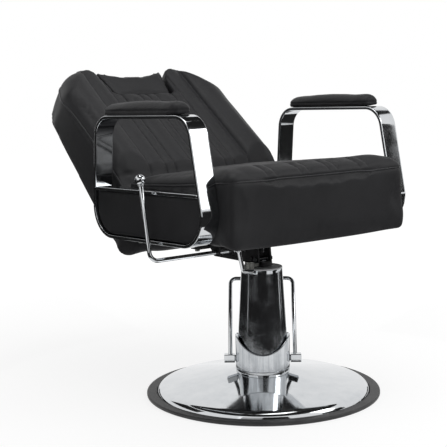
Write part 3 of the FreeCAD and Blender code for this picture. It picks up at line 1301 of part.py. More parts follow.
def y_cylinder(radius, start, end):
    """A cylinder along the gas spring's own axis."""
    return Part.makeCylinder(radius, end - start, Vector(0, start, 0), Vector(0, 1, 0))


def gas_cylinder():
    """The tube with its front eye, its bore and its guided mouth."""
    eye = x_cylinder(mm.gas_eye, -mm.gas_eye_thick / 2, mm.gas_eye_thick / 2, Vector())
    body = eye.fuse(y_cylinder(mm.gas_tube, TUBE_START - mm.gas_eye / 3, TUBE_END))
    bore = y_cylinder(mm.gas_tube - mm.gas_tube_wall, TUBE_START + mm.gas_cap, TUBE_END - mm.gas_cap)
    mouth = y_cylinder(mm.gas_rod + mm.gas_rod_play, TUBE_START + mm.gas_cap, TUBE_END + mm.overrun)
    pin = x_cylinder(mm.gas_pin + mm.gas_pin_play, -mm.gas_tube, mm.gas_tube, Vector())
    return body.cut(bore).cut(mouth).cut(pin)


def gas_piston_rod():
    """The rod with its piston inside the cylinder and its clevis at the lug."""
    start = TUBE_START + mm.gas_cap + mm.seat_gap
    piston = y_cylinder(mm.gas_tube - mm.gas_tube_wall - mm.gas_rod_play, start, start + mm.gas_piston_long)
    clevis_foot = GAS_LONG - mm.clevis_long
    shaft = y_cylinder(mm.gas_rod, start, clevis_foot)
    block = Part.makeBox(mm.clevis_half * 2, mm.clevis_long + mm.clevis_lip, mm.clevis_tall,
                         Vector(-mm.clevis_half, clevis_foot, -mm.clevis_tall / 2))
    web = mm.lug_thick / 2 + mm.clevis_gap
    slot = Part.makeBox(web * 2, mm.clevis_long + mm.clevis_lip, mm.clevis_tall * 2,
                        Vector(-web, GAS_LONG - mm.clevis_throat, -mm.clevis_tall))
    pin_hole = x_cylinder(mm.gas_rod, -mm.clevis_half, mm.clevis_half, Vector(0, GAS_LONG, 0))
    block = block.cut(pin_hole)
    return piston.fuse(shaft).fuse(block.cut(slot)).removeSplitter()


finish("gas_cylinder", formed("gas_cylinder", gas_cylinder(), GAS_FRAME))
finish("gas_rod", formed("gas_rod", gas_piston_rod(), GAS_FRAME))
FORK_FACE = FORK_OUTER.value
clevis_pin = x_cylinder(mm.gas_rod, -mm.clevis_half, mm.clevis_half, Vector(0, GAS_LONG, 0))
finish("clevis_pin", formed("clevis_pin", clevis_pin, GAS_FRAME))
finish("gas_pin", formed("gas_pin", x_cylinder(mm.gas_pin, -FORK_FACE, FORK_FACE, gas_front)))

# Backrest: built in its own plane (X across, Y up the back, Z out of its face), then leaned back

BACK_FRAME = Placement(Vector(0, mm.back_set, mm.back_lift), Rotation(Vector(1, 0, 0), mm.back_slope))


def on_face(half, run):
    """A point of the back's outline."""
    return Vector(half, run, 0)


def back_outline():
    """The back's front view: round shoulders and a notch for the headrest."""
    right = [
        on_face(mm.back_foot_half, -mm.lobe_run - mm.overrun),
        on_face(mm.back_half, -mm.face_end),
        on_face(mm.back_half, mm.shoulder_start),
        (on_face(mm.shoulder_mid_half, mm.shoulder_mid), on_face(mm.shoulder_top_half, mm.shoulder_top)),
        (on_face(mm.shoulder_lip_half, (mm.shoulder_top * 3 + mm.notch_top) / 4),
         on_face(mm.notch_top_half, mm.notch_top)),
        (on_face(mm.notch_mid_half, mm.notch_mid),
         on_face(mm.notch_foot_half, mm.notch_foot + mm.notch_round)),
        (on_face(mm.notch_foot_half - mm.notch_round / 3, mm.notch_foot + mm.notch_round / 3),
         on_face(mm.notch_foot_half - mm.notch_round, mm.notch_foot)),
    ]

    def flip(point):
        return Vector(-point.x, point.y, point.z)

    left = []
    spots = [entry[1] if isinstance(entry, tuple) else entry for entry in right]
    for index in range(len(right) - 1, 0, -1):
        entry = right[index]
        if isinstance(entry, tuple):
            left.append((flip(entry[0]), flip(spots[index - 1])))
        else:
            left.append(flip(spots[index - 1]))
    return face_of(right + [flip(spots[-1])] + left)


def side_view():
    """The back's side view: face, crease at the seat, lower lobe and rear face."""

    def spot(run, depth):
        return Vector(0, run, -depth)

    pivot = BACK_FRAME.inverse().multVec(hinge)
    front = mm.face_crest
    half_turn = mm.heel_round * math.sqrt(0.5)
    top_turn = mm.head_round * (1 - math.sqrt(0.5))
    return face_of([
        spot(-mm.face_fall, -front),
        (spot(-mm.face_mid, -mm.face_mid_lift), spot(-mm.face_end, mm.face_end_depth)),
        spot(-mm.crease_run, mm.crease_depth),
        Vector(0, pivot.y, pivot.z + mm.heel_round),
        (Vector(0, pivot.y - half_turn, pivot.z + half_turn), Vector(0, pivot.y - mm.heel_round, pivot.z)),
        spot(-mm.heel_run, mm.heel_depth),
        spot(-mm.lobe_run, mm.lobe_depth),
        (spot(-mm.lobe_run - mm.lobe_round, (mm.lobe_depth * 2 + mm.lobe_back_depth) / 3),
         spot(-mm.lobe_back_run, mm.lobe_back_depth)),
        spot(-mm.rear_foot_run, mm.rear_foot_depth),
        spot(mm.rear_head_run, mm.rear_head_depth),
        spot(mm.shoulder_top + mm.seat_gap, mm.head_round_depth),
        spot(mm.shoulder_top + mm.seat_gap, mm.head_round - front),
        (spot(mm.shoulder_top - top_turn, top_turn - front), spot(mm.shoulder_top - mm.head_round, -front)),
    ])


# Wing points between its seam and the side seam: run across, and height over the datum
WING_RUN_SHARES = (0.09, 0.23, 0.55, 0.85, 0.96, 1)
WING_RISE_SHARES = (0.63, 0.815, 1, 0.76, 0.407)


def channel_profile():
    """The back seen along its length: a wing each side and channels between seams."""
    reach = mm.lobe_run + mm.overrun
    seams = [mm.back_welt_mid, mm.back_welt_outer, mm.back_welt_edge, mm.wing_seam]
    stops = [-x for x in reversed(seams)] + [0] + seams
    low = -mm.rear_foot_depth - mm.overrun
    widest = mm.back_welt_outer - mm.back_welt_mid

    def spot(x, z):
        return Vector(x, -reach, z)

    wing = []
    for run, rise in zip(WING_RUN_SHARES, WING_RISE_SHARES + (-mm.side_fall / mm.wing_rise,)):
        wing.append((mm.wing_seam + (mm.back_half + mm.seat_gap - mm.wing_seam) * run, mm.wing_rise * rise))
    edge = wing[-1][0]
    seam = spot(mm.wing_seam, mm.seam_lift)
    run = [spot(-edge, low), spot(edge, low), spot(*wing[5])]
    run.append((spot(*wing[4]), spot(*wing[3])))
    run.append((spot(*wing[2]), spot(*wing[1])))
    run.append((spot(*wing[0]), seam))
    for right, left in zip(reversed(stops[1:]), reversed(stops[:-1])):
        swell = mm.panel_rise * (right - left) / widest
        run.append((spot((right + left) / 2, mm.seam_lift + swell), spot(left, mm.seam_lift)))
    mirrored_wing = [spot(-x, z) for x, z in wing]
    run.append((mirrored_wing[0], mirrored_wing[1]))
    run.append((mirrored_wing[2], mirrored_wing[3]))
    run.append((mirrored_wing[4], mirrored_wing[5]))
    return face_of(run).extrude(Vector(0, reach * 2, 0))


def rear_slab(thick):
    """The wedge of space behind the back's rear face, cut into it by a thickness."""
    foot = Vector(0, -mm.rear_foot_run, -mm.rear_foot_depth)
    head = Vector(0, mm.rear_head_run, -mm.rear_head_depth)
    along = (head - foot).normalize()
    out = Vector(0, along.z, -along.y)
    foot = foot + along * mm.panel_board_inset
    head = head - along * mm.panel_board_inset
    wide = mm.back_foot_half - mm.panel_board_inset
    corners = [foot, head, head - out * thick, foot - out * thick]
    slab = face_of([point + Vector(-wide, 0, 0) for point in corners])
    return slab.extrude(Vector(wide * 2, 0, 0))


def post_tool(radius, start, end):
    """Both headrest post cylinders between two runs up the back."""
    tools = []
    for sign in (1, -1):
        spot = Vector(sign * mm.post_half, start, -mm.post_depth)
        tools.append(Part.makeCylinder(radius, end - start, spot, Vector(0, 1, 0)))
    return tools


wide_cut = Vector(mm.back_half * 2 + mm.overrun * 2, 0, 0)
side_solid = side_view().extrude(wide_cut).translate(Vector(-mm.back_half - mm.overrun, 0, 0))
reach_low = -mm.rear_foot_depth - mm.overrun
outline_solid = back_outline().extrude(Vector(0, 0, mm.face_crest + mm.overrun - reach_low))
outline_solid.translate(Vector(0, 0, reach_low))


# Run along the shoulder, and share of the change from the side's round to the shoulder's
COVE_SHARES = ((0, 0), (0.2, 0.45), (0.45, 0.9), (0.7, 1), (1, 0.85))


def shoulder_cove(start, middle, end):
    """The cutter that rounds the front edge along the shoulder, wider over its top."""
    arc = Part.Arc(start, middle, end).toShape().Curve
    centre = arc.Center
    first = start - centre
    turn = math.degrees(first.getAngle(end - centre))
    spindle = first.cross(end - centre).normalize()
    first.normalize()
    rim = arc.Radius
    sections = []
    for run, change in COVE_SHARES:
        out = Rotation(spindle, turn * run).multVec(first)
        size = mm.shoulder_side_round + (mm.shoulder_round - mm.shoulder_side_round) * change
        slant = size * math.sqrt(0.5)

        def spot(reach, lift):
            return centre + out * reach + Vector(0, 0, mm.face_crest + lift)

        sections.append(face_of([
            spot(rim - size, 0),
            spot(rim - size, mm.overrun),
            spot(rim + mm.overrun, mm.overrun),
            spot(rim + mm.overrun, -size),
            spot(rim, -size),
            (spot(rim - size + slant, slant - size), spot(rim - size, 0)),
        ]).OuterWire)
    return Part.makeLoft(sections, True, False)


SHOULDER = (on_face(mm.back_half, mm.shoulder_start), on_face(mm.shoulder_mid_half, mm.shoulder_mid),
            on_face(mm.shoulder_top_half, mm.shoulder_top))
cove = shoulder_cove(*SHOULDER)
back_shape = channel_profile().common(side_solid).common(outline_solid)
back_shape = back_shape.cut(cove).cut(cove.mirror(Vector(), Vector(1, 0, 0)))
board_shape = rear_slab(mm.panel_board).common(outline_solid)
back_shape = back_shape.cut(board_shape)

to_back = BACK_FRAME.inverse()
tube_room = x_cylinder(mm.tube_radius + mm.seat_gap, -STRAP_FACE, STRAP_FACE, hinge)
lug_room = Part.makeBox(mm.lug_thick + mm.clevis_gap * 2, mm.lug_wide + mm.lug_eye,
                        mm.hinge_lift - mm.lug_lift + mm.overrun,
                        Vector(-mm.lug_thick / 2 - mm.clevis_gap, mm.hinge_back - mm.lug_wide,
                               mm.lug_lift - mm.overrun))
FORK_ROOM = FORK_OUTER.value + mm.clevis_gap * 3
clevis_room = Part.makeBox(FORK_ROOM * 2, mm.lug_wide * 2, mm.lug_wide * 3,
                           Vector(-FORK_ROOM, mm.lug_back - mm.lug_wide, mm.lug_lift - mm.lug_wide * 2))
for tool in (tube_room, lug_room, clevis_room):
    tool.Placement = to_back.multiply(tool.Placement)
    back_shape = back_shape.cut(tool)

GUIDE_RADIUS = mm.post_radius + mm.guide_play + mm.guide_wall
GUIDE_FOOT = mm.notch_foot - mm.guide_long
POST_FOOT = mm.headrest_foot - mm.post_long
for tool in post_tool(GUIDE_RADIUS, GUIDE_FOOT, mm.notch_foot + mm.overrun):
    back_shape = back_shape.cut(tool)
for tool in post_tool(mm.post_radius + mm.guide_play * 3, POST_FOOT - mm.post_room, mm.notch_foot):
    back_shape = back_shape.cut(tool)
finish("back_cushion", formed("back_cushion", back_shape, BACK_FRAME))
finish("back_board", formed("back_board", board_shape, BACK_FRAME))

guides = []
for outer, inner in zip(post_tool(GUIDE_RADIUS, GUIDE_FOOT, mm.notch_foot),
                        post_tool(mm.post_radius + mm.guide_play, GUIDE_FOOT, mm.notch_foot)):
    guides.append(outer.cut(inner))
finish("headrest_guides", formed("headrest_guides", Part.makeCompound(guides), BACK_FRAME))
posts = Part.makeCompound(post_tool(mm.post_radius, POST_FOOT, mm.headrest_foot))
finish("headrest_posts", formed("headrest_posts", posts, BACK_FRAME))


def headrest_cushion():
    """The trapezoid cushion in the notch, its top edge hollow and its face crowned."""
    foot_round = mm.headrest_round
    view = face_of([
        Vector(-mm.headrest_foot_half + foot_round, mm.headrest_foot, 0),
        Vector(mm.headrest_foot_half - foot_round, mm.headrest_foot, 0),
        (Vector(mm.headrest_foot_half - foot_round / 3, mm.headrest_foot + foot_round / 3, 0),
         Vector(mm.headrest_foot_half, mm.headrest_foot + foot_round, 0)),
        Vector(mm.headrest_top_half, mm.headrest_top, 0),
        (Vector(0, mm.headrest_dip, 0), Vector(-mm.headrest_top_half, mm.headrest_top, 0)),
        Vector(-mm.headrest_foot_half, mm.headrest_foot + foot_round, 0),
        (Vector(-mm.headrest_foot_half + foot_round / 3, mm.headrest_foot + foot_round / 3, 0),
         Vector(-mm.headrest_foot_half + foot_round, mm.headrest_foot, 0)),
    ])
    block = view.extrude(Vector(0, 0, mm.headrest_rear + mm.overrun)).translate(Vector(0, 0, -mm.headrest_rear))
    wide = mm.headrest_top_half + mm.seat_gap
    crown = face_of([
        Vector(-wide, 0, -mm.headrest_rear),
        Vector(wide, 0, -mm.headrest_rear),
        Vector(wide, 0, mm.headrest_side),
        (Vector(0, 0, mm.headrest_face), Vector(-wide, 0, mm.headrest_side)),
    ]).extrude(Vector(0, mm.headrest_top * 2, 0))
    return block.common(crown)


finish("headrest_cushion", formed("headrest_cushion", headrest_cushion(), BACK_FRAME))

# Check every object and sub-part, then write one file for each sub-part

doc.recompute()
for item in doc.Objects:
    if "Invalid" in item.State or "Error" in item.State:
        raise RuntimeError(f"{item.Label}: {item.State}")
for name, item in PIECES.items():
    shape = item.Shape
    if shape.isNull() or not shape.isValid() or not shape.Solids:
        raise RuntimeError(f"{name} has no sound solid")
for name, item in PIECES.items():
    item.Shape.exportStep(f"parts/{name}.step")
print(len(PIECES), "sub-parts written")
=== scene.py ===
"""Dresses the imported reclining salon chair: smooth chrome, sewn vinyl cushions and studio light.

Sizes are in millimetres in the classes and turned to metres where a mesh is made.
The origin is the floor under the column, +Z is up and the sitter faces -Y.
"""

import logging
import math
from dataclasses import dataclass
from enum import Enum
from typing import Any, Callable, Dict, List, Mapping, Optional, Sequence, Tuple

import bmesh
import bpy
import numpy as np
from mathutils import Matrix, Vector, noise
from mathutils.bvhtree import BVHTree


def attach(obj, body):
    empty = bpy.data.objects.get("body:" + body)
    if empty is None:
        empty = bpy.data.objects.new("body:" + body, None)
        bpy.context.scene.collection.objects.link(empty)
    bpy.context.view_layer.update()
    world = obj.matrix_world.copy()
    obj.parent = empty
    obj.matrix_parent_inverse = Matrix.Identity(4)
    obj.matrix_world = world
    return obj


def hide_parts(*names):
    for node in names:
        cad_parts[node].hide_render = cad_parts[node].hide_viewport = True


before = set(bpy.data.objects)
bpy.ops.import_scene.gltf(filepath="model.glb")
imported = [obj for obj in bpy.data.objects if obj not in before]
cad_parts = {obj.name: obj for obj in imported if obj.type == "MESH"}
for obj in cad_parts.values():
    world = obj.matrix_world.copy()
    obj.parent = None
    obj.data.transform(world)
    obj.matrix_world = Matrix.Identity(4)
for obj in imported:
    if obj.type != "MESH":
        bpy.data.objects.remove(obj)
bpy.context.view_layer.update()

MM = 0.001
SAME_SPOT = 1e-4  # points of a run that lie closer together than this are one
CAD_WELD = 2e-5  # points of a CAD mesh that lie closer together than this are one, in metres
PULL_AND_PUSH = (0.5, -0.52)  # how far relaxing moves a point to its neighbours, and back
PEDAL_TURN = -40.2  # how the pedal's axle is turned about the column, in degrees
SIDES = (("left", 1), ("right", -1))
WHITE = (1.0, 1.0, 1.0, 1.0)
LOG = logging.getLogger("salon_chair")

Point = Tuple[float, float, float]
Spot = Tuple[float, float]
Stop = Tuple[float, str]
Tree = bpy.types.NodeTree
Socket = bpy.types.NodeSocket
Material = bpy.types.Material
Mesh = bpy.types.Mesh
Piece = bpy.types.Object


class Body(Enum):
    """The moving bodies of the chair that new pieces ride on."""

    BASE = "base"
    PEDAL = "pedal"
    SEAT = "seat"
    LEVER = "lever"
    BACK = "back"
    HEADREST = "headrest"


class Slot(Enum):
    """The record's material slots, named for the new pieces."""

    CHROME = "chrome"
    VINYL = "grey_vinyl"
    RUBBER = "rubber"
    PLASTIC = "grey_plastic"


# Shader helpers


def linear(hex_colour: str) -> Tuple[float, float, float, float]:
    """Turn an sRGB hex colour to linear.

    Args:
        hex_colour: Six hex digits after a hash sign.

    Returns:
        Red, green, blue and alpha for a shader socket.
    """
    channels = []
    for start in (1, 3, 5):
        share = int(hex_colour[start:start + 2], 16) / 255
        channels.append(share / 12.92 if share <= 0.04045 else ((share + 0.055) / 1.055) ** 2.4)
    return (channels[0], channels[1], channels[2], 1.0)


def add_node(
    tree: Tree,
    kind: str,
    settings: Optional[Mapping[str, Any]] = None,
    inputs: Optional[Mapping[Any, Any]] = None,
) -> bpy.types.Node:
    """Add a node with its settings, and set or link its inputs.

    Args:
        tree: The material's or world's node tree.
        kind: The node's type name after "ShaderNode".
        settings: Attributes of the node.
        inputs: Values or output sockets by input name or number.

    Returns:
        The new node.
    """
    made = tree.nodes.new("ShaderNode" + kind)
    for name, value in (settings or {}).items():
        setattr(made, name, value)
    for name, value in (inputs or {}).items():
        if isinstance(value, bpy.types.NodeSocket):
            tree.links.new(value, made.inputs[name])
        else:
            made.inputs[name].default_value = value
    return made


def ray_is(tree: Tree, *kinds: str) -> Socket:
    """Tell the rays of some kinds from all others.

    Args:
        tree: The node tree.
        kinds: Outputs of the light path node.

    Returns:
        1 for a ray of one of the kinds, else 0.
    """
    path = add_node(tree, "LightPath")
    shown = path.outputs[kinds[0]]
    for kind in kinds[1:]:
        both = add_node(tree, "Math", {"operation": "MAXIMUM"}, {0: shown, 1: path.outputs[kind]})
        shown = both.outputs["Value"]
    return shown


class Coat:
    """A principled material in the making, with the steps that the finishes share."""

    def __init__(self, name: str) -> None:
        """Start an empty material.

        Args:
            name: The material's name.
        """
        self.material = bpy.data.materials.new(name)
        self.material.use_nodes = True
        self.tree = self.material.node_tree
        self.tree.nodes.clear()
        self.shader = add_node(self.tree, "BsdfPrincipled")
        self.output = add_node(
            self.tree, "OutputMaterial", inputs={"Surface": self.shader.outputs["BSDF"]})
        self.place = add_node(self.tree, "TexCoord").outputs["Object"]  # in metres here
        self.base: Optional[Socket] = None
        self.normal: Optional[Socket] = None

    def fix(self, values: Mapping[str, Any]) -> None:
        """Set inputs of the shader to fixed values."""
        for name, value in values.items():
            self.shader.inputs[name].default_value = value

    def noise(
        self, size: float, detail: float, roughness: float = 0.5, stretch: Optional[Point] = None
    ) -> Socket:
        """Add noise in space.

        Args:
            size: Size of its largest spots, in millimetres.
            detail: How many finer layers it has.
            roughness: How strong the finer layers are.
            stretch: Scale along the axes; less than 1 draws the noise out.

        Returns:
            The noise, about 0.5 on average.
        """
        place = self.place
        if stretch:
            drawn_out = add_node(self.tree, "Mapping", inputs={"Vector": place, "Scale": stretch})
            place = drawn_out.outputs["Vector"]
        made = add_node(self.tree, "TexNoise", inputs={
            "Vector": place, "Scale": 1 / (size * MM), "Detail": detail, "Roughness": roughness})
        return made.outputs["Fac"]

    def span(self, value: Socket, start: Spot, end: Spot) -> Socket:
        """Map one range of a value to another and clamp it."""
        return add_node(self.tree, "MapRange", inputs={
            "Value": value, "From Min": start[0], "From Max": start[1],
            "To Min": end[0], "To Max": end[1]}).outputs["Result"]

    def ramp(self, value: Socket, low: Stop, high: Stop) -> Socket:
        """Blend two colours.

        Args:
            value: What drives the blend.
            low: Where the first colour ends, and its hex value.
            high: Where the second colour starts, and its hex value.

        Returns:
            The blended colour.
        """
        made = add_node(self.tree, "ValToRGB", inputs={"Fac": value})
        for element, (position, colour) in zip(made.color_ramp.elements, (low, high)):
            element.position = position
            element.color = linear(colour)
        return made.outputs["Color"]

    def tint(self, value: Socket, low: Stop, high: Stop) -> None:
        """Colour the surface by a blend, over the colour that it has already.

        Args:
            value: What drives the blend.
            low: Where the first colour ends, and its hex value.
            high: Where the second colour starts, and its hex value.
        """
        colour = self.ramp(value, low, high)
        if self.base is not None:
            colour = add_node(self.tree, "Mix", {"data_type": "RGBA", "blend_type": "MULTIPLY"},
                              {0: 1.0, 6: self.base, 7: colour}).outputs[2]
        self.base = colour
        self.tree.links.new(colour, self.shader.inputs["Base Color"])

    def gloss(self, value: Socket, start: Spot, end: Spot) -> None:
        """Let a range of a value set a range of roughness."""
        self.tree.links.new(self.span(value, start, end), self.shader.inputs["Roughness"])

    def relief(self, height: Socket, strength: float, depth: float) -> None:
        """Add a bump over the bumps that are there already.

        Args:
            height: The height, 0 to 1.
            strength: The share of it that shows.
            depth: Real depth in millimetres.
        """
        inputs = {"Strength": strength, "Distance": depth * MM, "Height": height}
        if self.normal is not None:
            inputs["Normal"] = self.normal
        self.normal = add_node(self.tree, "Bump", inputs=inputs).outputs["Normal"]
        self.tree.links.new(self.normal, self.shader.inputs["Normal"])


# Finishes


@dataclass(frozen=True)
class EmbossedVinyl:
    """PVC-coated upholstery cloth, calendered and embossed with a fine leather grain.

    The coating gives a broad soft highlight, and the grain breaks it into small specks.
    """

    name: str = "embossed_vinyl"
    colour: str = "#1d1d1f"
    worn_colour: str = "#252527"
    roughness: float = 0.56
    grain_mm: float = 2.2  # the real pebble is 1 mm across; drawn coarser so that it shows
    grain_depth: float = 0.16
    crease_mm: float = 38.0  # distance between the soft hand-made ripples of the cover
    crease_depth: float = 1.4

    def build(self) -> Material:
        """Return the material."""
        coat = Coat(self.name)
        cloud = coat.noise(self.crease_mm * 2.2, 4.0, 0.6)
        coat.tint(cloud, (0.3, self.colour), (0.75, self.worn_colour))
        coat.gloss(cloud, (0.25, 0.75), (self.roughness - 0.06, self.roughness + 0.08))
        pebble = add_node(coat.tree, "TexVoronoi", {"feature": "DISTANCE_TO_EDGE"},
                          {"Vector": coat.place, "Scale": 1 / (self.grain_mm * MM)})
        edge = coat.span(pebble.outputs["Distance"], (0.0, 0.35), (0.0, 1.0))
        height = add_node(coat.tree, "Math", {"operation": "MULTIPLY_ADD"},
                          {0: coat.noise(self.grain_mm * 0.6, 3.0), 1: 0.35, 2: edge})
        coat.relief(height.outputs["Value"], 0.55, self.grain_depth)
        coat.relief(coat.noise(self.crease_mm, 2.0), 0.35, self.crease_depth)
        coat.fix({"Specular IOR Level": 0.24, "Sheen Weight": 0.03, "Sheen Roughness": 0.45})
        return coat.material


@dataclass(frozen=True)
class ChromePlate:
    """Bright chromium on nickel over buffed steel.

    A mirror with faint wiping haze, and the slight waviness that buffing leaves.
    """

    name: str = "chrome_plate"
    colour: str = "#d3d5d7"
    wiped_colour: str = "#c6c9cc"
    roughness: float = 0.04
    haze: float = 0.07
    wipe_mm: float = 45.0
    wave_mm: float = 60.0  # the buffing wheel leaves ripples about a hand's width apart
    wave_depth: float = 0.05
    line_mm: float = 0.0  # tube keeps the long lines of its drawing die under the plating

    def build(self) -> Material:
        """Return the material."""
        coat = Coat(self.name)
        wipe = coat.noise(self.wipe_mm, 5.0, 0.65)
        coat.gloss(wipe, (0.35, 0.75), (self.roughness, self.roughness + self.haze))
        coat.tint(wipe, (0.3, self.colour), (0.8, self.wiped_colour))
        if self.line_mm:
            lines = coat.noise(self.line_mm, 4.0, 0.7, (1.0, 1.0, 0.03))
            coat.tint(lines, (0.3, "#d0d2d4"), (0.62, "#f6f7f8"))
        coat.relief(coat.noise(self.wave_mm, 1.0), 0.5, self.wave_depth)
        coat.fix({"Metallic": 1.0})
        return coat.material


@dataclass(frozen=True)
class BareMetal:
    """Plain steel as it was machined or zinc plated.

    Fine tool lines spread the highlight along the surface, with a little tarnish between them.
    """

    name: str
    colour: str
    dull_colour: str
    roughness: float
    line_mm: float = 1.5  # the real feed marks are 0.2 mm apart; drawn coarser so that they show
    tarnish_mm: float = 18.0

    def build(self) -> Material:
        """Return the material."""
        coat = Coat(self.name)
        lines = coat.noise(self.line_mm, 3.0, stretch=(0.12, 0.12, 1.0))
        coat.tint(coat.noise(self.tarnish_mm, 4.0), (0.35, self.dull_colour), (0.65, self.colour))
        coat.gloss(lines, (0.3, 0.7), (self.roughness - 0.06, self.roughness + 0.1))
        coat.relief(lines, 0.3, 0.05)
        coat.fix({"Metallic": 1.0})
        return coat.material


@dataclass(frozen=True)
class BlackEnamel:
    """Stoved enamel on steel, sprayed.

    A dark satin skin with orange peel, rubbed a little greyer where hands and tools reach.
    """

    name: str = "black_enamel"
    colour: str = "#161618"
    rubbed_colour: str = "#2a2a2c"
    roughness: float = 0.36
    peel_mm: float = 1.8  # orange peel of sprayed enamel
    rub_mm: float = 26.0

    def build(self) -> Material:
        """Return the material."""
        coat = Coat(self.name)
        rub = coat.noise(self.rub_mm, 6.0, 0.7)
        coat.tint(rub, (0.5, self.colour), (0.78, self.rubbed_colour))
        coat.gloss(rub, (0.3, 0.8), (self.roughness - 0.05, self.roughness + 0.14))
        coat.relief(coat.noise(self.peel_mm, 1.5), 0.4, 0.06)
        return coat.material


@dataclass(frozen=True)
class MouldedPolymer:
    """Rubber or nylon from a mould.

    A matt skin with the mould's fine spark texture and a bloom of dust in the hollows.
    """

    name: str
    colour: str
    dusty_colour: str
    roughness: float
    spark_mm: float = 1.4  # the mould's real texture is 0.3 mm; drawn coarser so that it shows
    dust_mm: float = 40.0

    def build(self) -> Material:
        """Return the material."""
        coat = Coat(self.name)
        spark = coat.noise(self.spark_mm, 4.0)
        coat.tint(coat.noise(self.dust_mm, 5.0), (0.35, self.colour), (0.7, self.dusty_colour))
        coat.gloss(spark, (0.3, 0.7), (self.roughness - 0.06, self.roughness + 0.08))
        coat.relief(spark, 0.4, 0.12)
        return coat.material


@dataclass(frozen=True)
class StainedPlywood:
    """Birch plywood, stained black and sealed.

    Long grain shows through the stain as thin darker and lighter lines.
    """

    name: str = "stained_plywood"
    colour: str = "#1c1a19"
    grain_colour: str = "#2e2a27"
    roughness: float = 0.55
    grain_mm: float = 6.0  # growth rings of rotary-cut birch

    def build(self) -> Material:
        """Return the material."""
        coat = Coat(self.name)
        grain = coat.noise(self.grain_mm, 6.0, 0.6, (0.08, 1.0, 1.0))
        coat.tint(grain, (0.35, self.colour), (0.7, self.grain_colour))
        coat.gloss(grain, (0.3, 0.7), (self.roughness, self.roughness + 0.15))
        coat.relief(grain, 0.4, 0.15)
        return coat.material


@dataclass(frozen=True)
class SandCastIron:
    """Grey iron as it comes from a sand mould: dark, matt and finely pitted."""

    name: str = "sand_cast_iron"
    colour: str = "#242423"
    rust_colour: str = "#33302d"
    roughness: float = 0.75
    sand_mm: float = 2.0  # moulding sand, drawn twice as coarse
    rust_mm: float = 50.0

    def build(self) -> Material:
        """Return the material."""
        coat = Coat(self.name)
        coat.tint(coat.noise(self.rust_mm, 5.0), (0.4, self.colour), (0.7, self.rust_colour))
        coat.relief(coat.noise(self.sand_mm, 5.0), 0.6, 0.4)
        coat.fix({"Roughness": self.roughness})
        return coat.material


class Finishes:
    """Every finish of the chair, built once."""

    def __init__(self) -> None:
        """Build each finish."""
        self.vinyl = EmbossedVinyl().build()
        self.welt = EmbossedVinyl("welt_vinyl", "#232325", "#303032", 0.38, 1.6).build()
        self.chrome = ChromePlate().build()
        self.drawn_chrome = ChromePlate(
            "chrome_on_drawn_tube", "#dcdee0", haze=0.2, line_mm=9.0).build()
        self.turned_steel = BareMetal("turned_steel", "#b9bcc0", "#9b9ea2", 0.24).build()
        self.zinc = BareMetal("zinc_plate", "#b8b9b4", "#9a9b96", 0.34).build()
        self.enamel = BlackEnamel().build()
        self.rubber = MouldedPolymer("moulded_rubber", "#242425", "#343435", 0.5).build()
        self.grey_nylon = MouldedPolymer("grey_nylon", "#c6c7c8", "#b6b7b9", 0.4).build()
        self.black_nylon = MouldedPolymer("black_nylon", "#18181a", "#232325", 0.46).build()
        self.plywood = StainedPlywood().build()
        self.iron = SandCastIron().build()


def dress(material: Material, *nodes: str) -> None:
    """Give CAD nodes a finish through their objects' material slots.

    Args:
        material: The finish.
        nodes: Names of the CAD nodes.
    """
    for name in nodes:
        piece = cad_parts[name]
        if not piece.material_slots:
            piece.data.materials.append(material)
        for entry in piece.material_slots:
            entry.material = material


# Mesh helpers


def linked(name: str, data: bpy.types.ID) -> Piece:
    """Put data into the scene as a new object.

    Args:
        name: The object's name.
        data: Its mesh, lamp or camera.

    Returns:
        The object.
    """
    piece = bpy.data.objects.new(name, data)
    bpy.context.scene.collection.objects.link(piece)
    return piece


def shade_smooth(mesh: Mesh) -> None:
    """Shade every face of a mesh smooth."""
    mesh.polygons.foreach_set("use_smooth", [True] * len(mesh.polygons))


def face_outwards(mesh: Mesh, weld: float = 0.0) -> None:
    """Make every face of a closed mesh look outwards.

    Args:
        mesh: The mesh.
        weld: Points that lie closer than this are joined first, in metres.
    """
    work = bmesh.new()
    work.from_mesh(mesh)
    if weld:
        bmesh.ops.remove_doubles(work, verts=work.verts, dist=weld)
    bmesh.ops.recalc_face_normals(work, faces=work.faces)
    work.to_mesh(mesh)
    work.free()
    mesh.update()


def new_piece(
    name: str, points: Sequence[Sequence[float]], faces: Sequence[Sequence[int]], material: Material
) -> Piece:
    """Make a smooth-shaded object from points in millimetres.

    Args:
        name: The object's name.
        points: Vertices in the row frame.
        faces: Vertex numbers of each face.
        material: Its finish.

    Returns:
        The new object.
    """
    mesh = bpy.data.meshes.new(name)
    mesh.from_pydata([tuple(float(value) * MM for value in point) for point in points], [], faces)
    mesh.materials.append(material)
    piece = linked(name, mesh)
    face_outwards(mesh)
    shade_smooth(mesh)
    return piece


